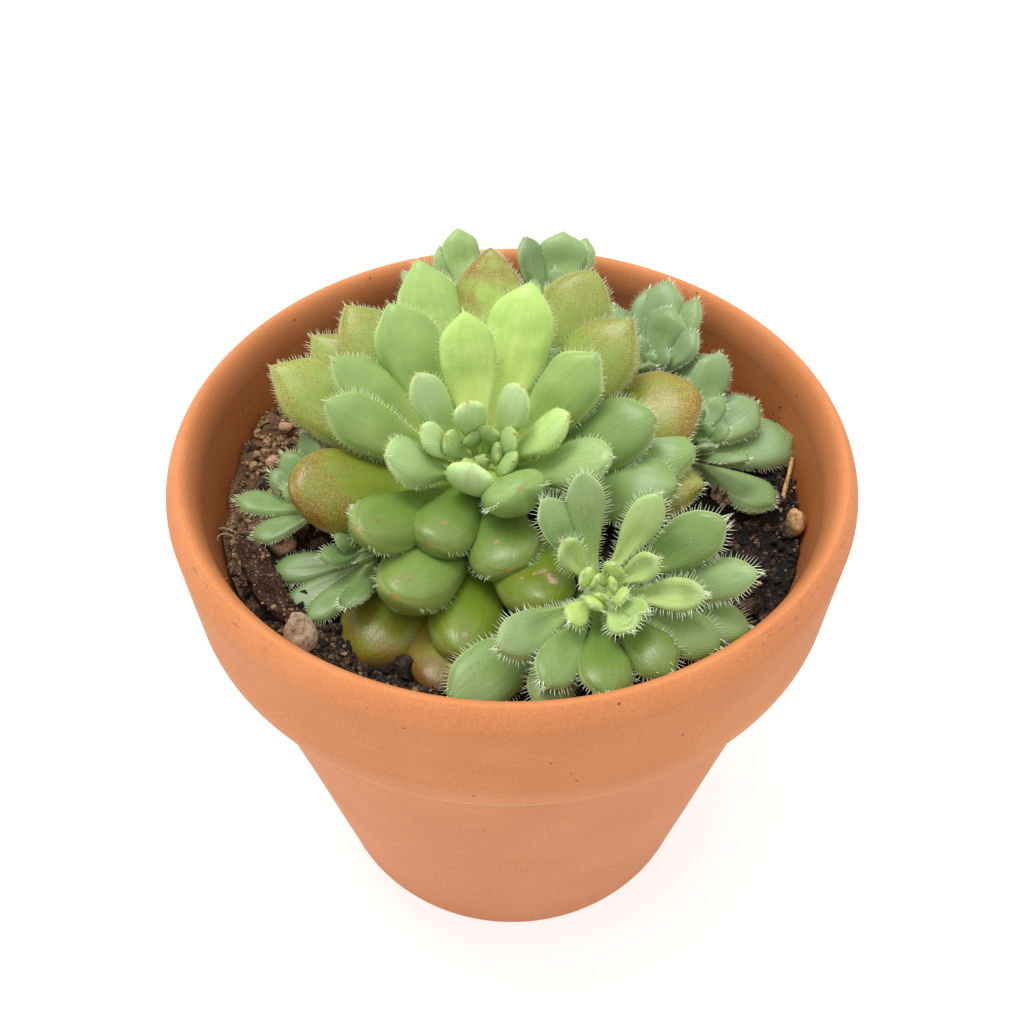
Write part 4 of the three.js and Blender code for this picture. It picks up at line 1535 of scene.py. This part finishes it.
FRONT_OFFSET = Rosette(
    name="front_offset",
    slot="leaf_glaucous",
    skin=PALE_SKIN,
    heart=(11.4, -28.7, 86.5),
    lean=32,
    lean_to=275,
    stem_radius=2,
    stem_length=17,
    drop=0.0125,
    whorls=(
        # This bright heart is partly painted light, where the middle of the rosette lies in shade.
        Whorl(
            10, 0.5, Tip.SPOON, Look.BRIGHT, Fringe.LONG,
            (*ring(4, 60, 28, 5, 2.8), *ring(3, 20, 10, 3.6, 2.2), Leaf(225, 52, 7.5, 3.4)),
        ),
        Whorl(
            8, 0.45, Tip.SPOON, Look.TENDER, Fringe.LONG,
            (
                Leaf(26, 44, 9.5, 3.7), Leaf(353, 51, 15, 4.4), Leaf(326, 47, 7.5, 3),
                Leaf(298, 47, 8, 4.4), Leaf(136, 47, 9.5, 3.8),
            ),
            0.6, 0.95,
        ),
        Whorl(
            8, 0.45, Tip.SPOON, Look.PALE, Fringe.LONG,
            (
                # Leaf 59 lies in shade and is given a sunnier look as painted light.
                Leaf(103, 51, 17.5, 4.9), Leaf(126, 58, 15, 4.7), Leaf(59, 48, 16.5, 4.7, Look.TENDER),
                Leaf(29, 56, 20, 6.8, Look.MATT), Leaf(3, 61, 21.5, 5.8),
                # Here and in the next whorl, the lower leaves' darker looks are partly their colour and
                # partly painted shade.
                Leaf(333, 73, 16.6, 6.2, Look.MATT), Leaf(269, 63, 15, 7.2, Look.DEEP),
                Leaf(239, 61, 16.5, 5.8, Look.MATT), Leaf(212, 61, 17.5, 5.8),
            ),
            0.35, 0.7,
        ),
        Whorl(
            4, 0.45, Tip.SPOON, Look.MATT, Fringe.LONG,
            (
                Leaf(346, 76, 19.5, 6), Leaf(307, 70, 13.8, 6.6, Look.DEEP),
                Leaf(217, 74, 24, 8.4), Leaf(241, 72, 17, 6.4),
            ),
        ),
    ),
)


def small_offset(
    name: str,
    heart: tuple[float, float, float],
    lean: float,
    lean_to: float,
    fringe: Fringe,
    look: Look,
    *leaves: Leaf,
) -> Rosette:
    """An offset that is half hidden by the mother rosette.

    Args:
        name: The node that it replaces.
        heart: The middle of its leaves.
        lean: How far it leans.
        lean_to: Which way it leans.
        fringe: How its leaves are haired.
        look: How its leaves have coloured.
        *leaves: The leaves that reach out from under the mother rosette.

    Returns:
        The offset, with a bud of small leaves at its heart.
    """
    bud = (*ring(3, 40, 22, 4, 2.4), *ring(4, 95, 36, 6, 3))
    whorls = (
        Whorl(10, 0.5, Tip.SPOON, look, fringe, bud),
        Whorl(10, 0.48, Tip.POINTED, look, fringe, leaves, 0.2, 0.8),
    )
    return Rosette(
        name,
        "leaf_glaucous",
        SHADED_SKIN,
        heart,
        lean,
        lean_to,
        stem_radius=1.8,
        stem_length=14,
        drop=0.0125,
        whorls=whorls,
    )


SMALL_OFFSETS = (
    small_offset(
        "right_offset", (27, 3, 83), 20, 340, Fringe.FELT, Look.PALE,
        Leaf(79, 52, 16.6, 6), Leaf(40, 71, 14.4, 7.4), Leaf(61, 57, 9, 3.6), Leaf(19, 79, 18.8, 9.6),
        Leaf(302, 46, 12, 4.6), Leaf(320, 79, 15.2, 7.4, Look.MATT),
    ),
    small_offset(
        "right_back_offset", (20.5, 18, 84), 8, 60, Fringe.FELT, Look.PALE,
        Leaf(72, 45, 20.5, 7.2), Leaf(47, 48, 18.3, 5.2), Leaf(56, 37, 13.4, 6.4), Leaf(84, 50, 18, 5),
        Leaf(18, 46, 11.8, 5.6), Leaf(110, 60, 15, 6), Leaf(5, 72, 13, 6),
    ),
    # The back and left back offsets face the camera and get little light; their brighter looks are painted
    # light.
    small_offset(
        "back_offset", (7.5, 33, 87), 0, 90, Fringe.FELT, Look.TENDER,
        Leaf(139, 33, 14, 5.6, Look.PALE), Leaf(81, 36, 13.5, 8), Leaf(60, 50, 13.5, 5.5),
        Leaf(100, 66, 12, 6), Leaf(160, 66, 12, 6), Leaf(198, 58, 9, 4), Leaf(235, 60, 9.5, 4.2),
        Leaf(275, 56, 9, 4), Leaf(318, 60, 9.5, 4.2),
    ),
    small_offset(
        "left_back_offset", (-6.5, 33, 87), 0, 110, Fringe.FELT, Look.TENDER,
        Leaf(108, 39, 14.5, 6.5, Look.BRIGHT), Leaf(126, 50, 12, 5), Leaf(75, 66, 12, 6),
        Leaf(148, 70, 12, 6), Leaf(170, 62, 13, 5.5), Leaf(212, 58, 9.5, 4.2), Leaf(252, 56, 9, 4),
        Leaf(298, 60, 9.5, 4.2), Leaf(340, 58, 9, 4),
    ),
    small_offset(
        "left_front_offset", (-19, -16.7, 82), 25, 230, Fringe.SHORT, Look.MATT,
        Leaf(188, 86, 15.6, 4.8), Leaf(206, 52, 8, 3.4), Leaf(233, 78, 13.6, 4.2), Leaf(262, 60, 12.5, 4.4),
        Leaf(211, 86, 15.4, 4),
    ),
    small_offset(
        "left_offset", (-27, -8.5, 82.5), 25, 185, Fringe.SHORT, Look.MATT,
        Leaf(174, 64, 13.6, 4.6), Leaf(205, 76, 11, 4.4), Leaf(148, 56, 9.4, 4), Leaf(126, 54, 10, 4),
        Leaf(103, 63, 12, 4.2),
    ),
)


@dataclass(frozen=True)
class Stone:
    """A stone on the soil: its node, centre and half-sizes in millimetres, and its finish.

    Its top may be drawn in by a share of its width, and may carry a knob.
    """

    node: str
    slot: str
    centre: tuple[float, float, float]
    size: tuple[float, float, float]
    finish: Mineral
    taper: float = 0.0
    knob: float = 0.0

    def build(self) -> bpy.types.Object:
        """Divides a ball finely, swells it as the solid does, and roughens its skin."""
        deselect()
        bpy.ops.mesh.primitive_ico_sphere_add(subdivisions=5, radius=1)
        stone = bpy.context.object
        points = points_of(stone.data)
        x, y, z = points.T
        wave = np.sin(3 * x + self.centre[0]) * np.cos(2.6 * y + self.centre[1])
        swell = 1 + 0.1 * wave + 0.06 * np.sin(4 * z + x)
        pinch = self.knob * np.exp(-((x + 0.25) ** 2 + (y - 0.1) ** 2) / 0.12) * smoothstep(z, 0.3, 1)
        points = points * (0.97 * swell + pinch)[:, None]
        points[:, :2] *= (1 - self.taper * smoothstep(z, -0.3, 1))[:, None]
        for grain, depth, seed in ((0.9, 0.08, self.centre[0]), (0.25, 0.018, self.centre[1])):
            points = roughened(points, grain, depth, seed)
        set_points(stone.data, (points * np.array(self.size) + np.array(self.centre)) * MM)
        paint(stone.data, "tint", np.zeros(len(points)))
        smooth(stone)
        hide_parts(self.node)
        return settle(stone, self.node + "_rough", self.finish.material())


STONES = (
    Stone("beige_stone", "beige_stone", (-28.3, -29.8, 78.5), (2.5, 2.6, 4.8), BEIGE_PUMICE, 0.55, 0.1),
    Stone("pink_pebble", "pink_stone", (-33.4, -12.2, 77.2), (2, 1.8, 1.6), PINK_PUMICE),
    Stone("pink_pebble_small", "pink_stone", (-31.3, -15.9, 76.8), (1, 0.9, 0.9), PINK_PUMICE),
    Stone("pebble_by_bark", "pink_stone", (-37.6, -9, 77), (1.2, 0.9, 1), PINK_PUMICE),
    Stone("pebble_left", "pink_stone", (-37.4, 5.4, 77), (1.2, 1.2, 1), PINK_PUMICE),
    Stone("pebble_left_back", "pink_stone", (-36.6, 13.6, 77), (1.2, 1, 0.9), PINK_PUMICE),
    Stone("tan_pebble", "tan_stone", (41.9, -7.8, 77.4), (1.4, 2, 2.3), TAN_PUMICE, 0.25),
)


@dataclass(frozen=True)
class BarkChip:
    """A chip of bark that leans along the wall, as an arc about the pot's axis, in millimetres."""

    turn: float = 209
    span: float = 27
    radius: float = 39.8
    thickness: float = 5
    height: float = 6
    middle: float = 76.6
    crumbs: Crumbs = Crumbs("bark_crumbs", 600, 0.08, 0.08, (-0.15, 0.15))
    cuts: int = 35
    seed: int = 5

    def build(self) -> list[bpy.types.Object]:
        """Divides a block, bends it along the wall, breaks up its skin and strews crumbs on it."""
        deselect()
        bpy.ops.mesh.primitive_cube_add(size=1)
        chip = bpy.context.object
        bpy.ops.object.mode_set(mode="EDIT")
        bpy.ops.mesh.select_all(action="SELECT")
        bpy.ops.mesh.subdivide(number_cuts=self.cuts)
        bpy.ops.object.mode_set(mode="OBJECT")
        along, through, up = points_of(chip.data).T
        soft = 1 - 0.22 * smoothstep(np.maximum(abs(through), abs(up)), 0.3, 0.5)
        taper = 0.55 + 0.45 * np.cos(2.6 * along)
        ragged = np.where(up > 0, 0.6 * np.sin(17 * along + 3 * through), 0)
        turn = np.radians(self.turn + self.span * along)
        radius = self.radius + self.thickness * taper * through * soft
        height = self.middle + self.height * taper * up * soft + ragged
        points = np.stack([radius * np.cos(turn), radius * np.sin(turn), height], axis=1)
        for grain, depth, seed in ((1.6, 0.45, 0.0), (0.5, 0.16, 4.0)):
            points = roughened(points, grain, depth, seed)
        set_points(chip.data, points * MM)
        paint(chip.data, "tint", 0.08 * smoothstep(up, 0.2, 0.5) - 0.03)
        smooth(chip, 60)
        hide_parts("bark_chip")
        draw = np.random.default_rng(self.seed)
        top = (up > 0.1) & (through < 0.45)
        picked = draw.choice(int(top.sum()), self.crumbs.count, p=self.crowding(up[top]))
        sizes, tints = self.crumbs.sizes(draw), self.crumbs.tints(draw)
        crumbs = self.crumbs.piece(points[top][picked], sizes, tints, draw)
        return [settle(chip, "bark_chip_rough", BARK_FIBRE.material()), crumbs]

    def crowding(self, up: np.ndarray) -> np.ndarray:
        """How likely a crumb lies at each of the chip's points: the higher, the likelier."""
        share = smoothstep(up, 0.1, 0.5) ** 2 + 0.02
        return share / share.sum()


def strand(
    name: str, path: list[tuple[float, float, float]], radii: list[float], sides: int = 10
) -> bpy.types.Object:
    """A closed, tapered strand: a disc extruded along a path.

    Args:
        name: The object's name.
        path: Its centre line, in millimetres.
        radii: Its radius at each point, in millimetres.
        sides: How many sides its section has.

    Returns:
        The strand.
    """
    deselect()
    bpy.ops.mesh.primitive_circle_add(vertices=sides, radius=1, fill_type="NGON")
    thing = bpy.context.object
    bpy.ops.object.mode_set(mode="EDIT")
    bpy.ops.mesh.select_all(action="SELECT")
    for _ in path[1:]:
        bpy.ops.mesh.extrude_region_move(TRANSFORM_OT_translate={"value": (0, 0, 1)})
    bpy.ops.object.mode_set(mode="OBJECT")
    points = points_of(thing.data)
    line = [Vector(point) for point in path]
    moved = []
    for x, y, z in points.tolist():
        i = round(z)
        way = (line[min(i + 1, len(line) - 1)] - line[max(i - 1, 0)]).normalized()
        side = way.cross(Vector((0.31, 0.22, 0.92))).normalized()
        other = way.cross(side)
        moved.append(line[i] + radii[i] * (x * side + y * other))
    set_points(thing.data, np.array([tuple(point) for point in moved]) * MM)
    alone(thing)
    bpy.ops.object.mode_set(mode="EDIT")
    bpy.ops.mesh.select_all(action="SELECT")
    bpy.ops.mesh.normals_make_consistent(inside=False)
    bpy.ops.object.mode_set(mode="OBJECT")
    paint(thing.data, "tint", np.zeros(len(points)))
    smooth(thing, 60)
    thing.name = name
    return thing


@dataclass(frozen=True)
class Litter:
    """The dry bits on the soil and the leaves: a stalk, a curled root, a straw and a dead leaf."""

    stalk_foot: tuple[float, float, float] = (39.9, -6.2, 73)
    stalk_tip: tuple[float, float, float] = (42.3, 1.6, 81.6)
    stalk_radius: float = 0.42
    root_middle: tuple[float, float, float] = (-41.0, -13.0, 79.2)
    root_radius: float = 1.1
    straw_foot: tuple[float, float, float] = (-42.2, -11.2, 79.4)
    straw_tip: tuple[float, float, float] = (-38.4, -11.6, 79.0)
    flake_middle: tuple[float, float, float] = (29.6, -9.6, 84.6)
    flake_size: float = 3.1
    flake_thickness: float = 0.14
    flake_tilt: float = 38
    flake_turn: float = 35
    flake_steps: int = 22
    stalk_steps: int = 14
    root_steps: int = 22
    root_from: float = -40
    root_turn: float = 13
    straw_steps: int = 8

    def build(self) -> list[bpy.types.Object]:
        """Builds every bit."""
        return [self.stalk(), self.root(), self.straw(), self.flake()]

    def stalk(self) -> bpy.types.Object:
        """The dry flower stalk that stands in the soil."""
        foot, tip = Vector(self.stalk_foot), Vector(self.stalk_tip)
        shares = [i / (self.stalk_steps - 1) for i in range(self.stalk_steps)]
        bow = Vector((0.12, -0.1, 0.16))
        path = [tuple(foot.lerp(tip, t) + bow * math.sin(9 * t) * t * (1 - t) * 2) for t in shares]
        radii = [self.stalk_radius * (1 - 0.35 * t + 0.08 * math.sin(23 * t)) for t in shares]
        stalk = strand("stalk", path, radii)
        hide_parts("dry_stalk")
        return settle(stalk, "dry_stalk_fibrous", STRAW_FIBRE.material())

    def root(self) -> bpy.types.Object:
        """A dead root that curls at the end of the bark chip."""
        middle = Vector(self.root_middle)
        path = []
        for i in range(self.root_steps):
            a = math.radians(self.root_from + self.root_turn * i)
            out = self.root_radius
            path.append(tuple(middle + Vector((out * math.cos(a), out * math.sin(a), 0.05 * i - 0.6))))
        root = strand("root", path, [0.2 - 0.005 * i for i in range(self.root_steps)], 8)
        return settle(root, "curled_root", DEAD_ROOT.material())

    def straw(self) -> bpy.types.Object:
        """A short straw between the wall and the chip."""
        foot, tip = Vector(self.straw_foot), Vector(self.straw_tip)
        steps = range(self.straw_steps)
        path = [tuple(foot.lerp(tip, i / steps[-1]) + Vector((0, 0, 0.25 * math.sin(i)))) for i in steps]
        straw = strand("straw", path, [0.22 - 0.015 * i for i in steps], 8)
        return settle(straw, "loose_straw", DEAD_ROOT.material())

    def flake(self) -> bpy.types.Object:
        """A crumpled dead leaf: a sheet folded by waves, then given a thickness."""
        deselect()
        steps = self.flake_steps
        bpy.ops.mesh.primitive_grid_add(x_subdivisions=steps, y_subdivisions=steps, size=self.flake_size)
        flake = bpy.context.object
        points = points_of(flake.data)
        x, y, _ = points.T
        points[:, 2] = 0.45 * np.sin(2.6 * x + 0.8 * y) + 0.3 * np.cos(3.4 * y - x) + 0.16 * np.sin(7 * x * y)
        points[:, 0] *= 0.72 + 0.2 * np.cos(2 * y)
        points = roughened(points, 0.8, 0.25, 7.0)
        turn = Matrix.Rotation(math.radians(self.flake_turn), 3, "Z")
        tilt = Matrix.Rotation(math.radians(self.flake_tilt), 3, "X")
        set_points(flake.data, (points @ np.array(turn @ tilt).T + np.array(self.flake_middle)) * MM)
        alone(flake)
        solid = flake.modifiers.new("thickness", "SOLIDIFY")
        solid.thickness = self.flake_thickness * MM
        bpy.ops.object.modifier_apply(modifier="thickness")
        paint(flake.data, "tint", np.zeros(len(flake.data.vertices)))
        smooth(flake, 50)
        return settle(flake, "dead_leaf_flake", DRY_SKIN.material())


@dataclass(frozen=True)
class Studio:
    """The camera that the photograph was taken with, a white floor, and soft light."""

    camera_place: tuple[float, float, float] = (0, -0.12008, 0.19470)
    camera_down: float = 45.76
    lens: float = 38.67
    sensor: float = 36
    floor_size: float = 12
    horizon: float = 0.34
    zenith: float = 1.78
    lit_point: tuple[float, float, float] = (0, 0, 0.08)

    def build(self) -> None:
        """Sets up the camera, the floor and the lights."""
        camera = bpy.data.objects.new("camera", bpy.data.cameras.new("camera"))
        camera.data.lens, camera.data.sensor_width = self.lens, self.sensor
        camera.data.clip_start, camera.data.clip_end = 0.005, 50
        camera.location = self.camera_place
        camera.rotation_euler = (math.radians(90 - self.camera_down), 0, 0)
        bpy.context.scene.collection.objects.link(camera)
        bpy.context.scene.camera = camera

        deselect()
        bpy.ops.mesh.primitive_plane_add(size=self.floor_size)
        floor = bpy.context.object
        floor.name = "floor"
        floor.data.materials.append(StudioPaper().material())

        self.sky_dome()
        self.softbox("key", (-0.2, 0.1, 0.95), 0.35, 4.4)
        self.softbox("fill", (-1.0, -0.2, 0.1), 0.8, 3.2)
        self.softbox("side", (1.0, -0.1, 0.4), 0.8, 1.4)

    def sky_dome(self) -> None:
        """Lights the scene from all round, most from straight above, as a light tent does."""
        s = Shader("studio", "worlds")
        ways = s.add("SeparateXYZ", {0: s.add("TexCoord").outputs["Generated"]})
        rise = s.add("Math", {0: ways.outputs["Z"], 1: 2.0}, operation="POWER")
        glow = s.add("MapRange", {"Value": rise, "To Min": self.horizon, "To Max": self.zenith})
        s.add("OutputWorld", {"Surface": s.add("Background", {"Color": "FFFFFF", "Strength": glow})})
        bpy.context.scene.world = s.owner
        bpy.context.scene.view_settings.view_transform = "Standard"

    def softbox(self, name: str, place: tuple[float, float, float], size: float, power: float) -> None:
        """Hangs a square light that faces the plant.

        Args:
            name: The light's name.
            place: Where it hangs, in metres.
            size: The length of its side, in metres.
            power: Its power in watts.
        """
        lamp = bpy.data.objects.new(name, bpy.data.lights.new(name, "AREA"))
        lamp.data.shape, lamp.data.size, lamp.data.energy = "SQUARE", size, power
        lamp.location = place
        way = Vector(self.lit_point) - Vector(place)
        lamp.rotation_euler = way.to_track_quat("-Z", "Y").to_euler()
        bpy.context.scene.collection.objects.link(lamp)


def main() -> None:
    """Builds every sub-assembly in order, and reports each piece."""
    logging.basicConfig(level=logging.INFO, format="%(name)s: %(message)s")
    noise.seed_set(NOISE_SEED)
    Studio().build()
    pieces = [POT.build(), SOIL.build(), *SOIL.scatter()]
    for rosette in (MOTHER, FRONT_OFFSET, *SMALL_OFFSETS):
        pieces += rosette.build()
    pieces += [stone.build() for stone in STONES]
    pieces += [*BarkChip().build(), *Litter().build()]
    for piece in pieces:
        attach(piece, BODY)
        triangles = sum(len(face.vertices) - 2 for face in piece.data.polygons)
        log.info("%s: %d triangles", piece.name, triangles)
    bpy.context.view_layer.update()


if __name__ == "__main__":
    main()
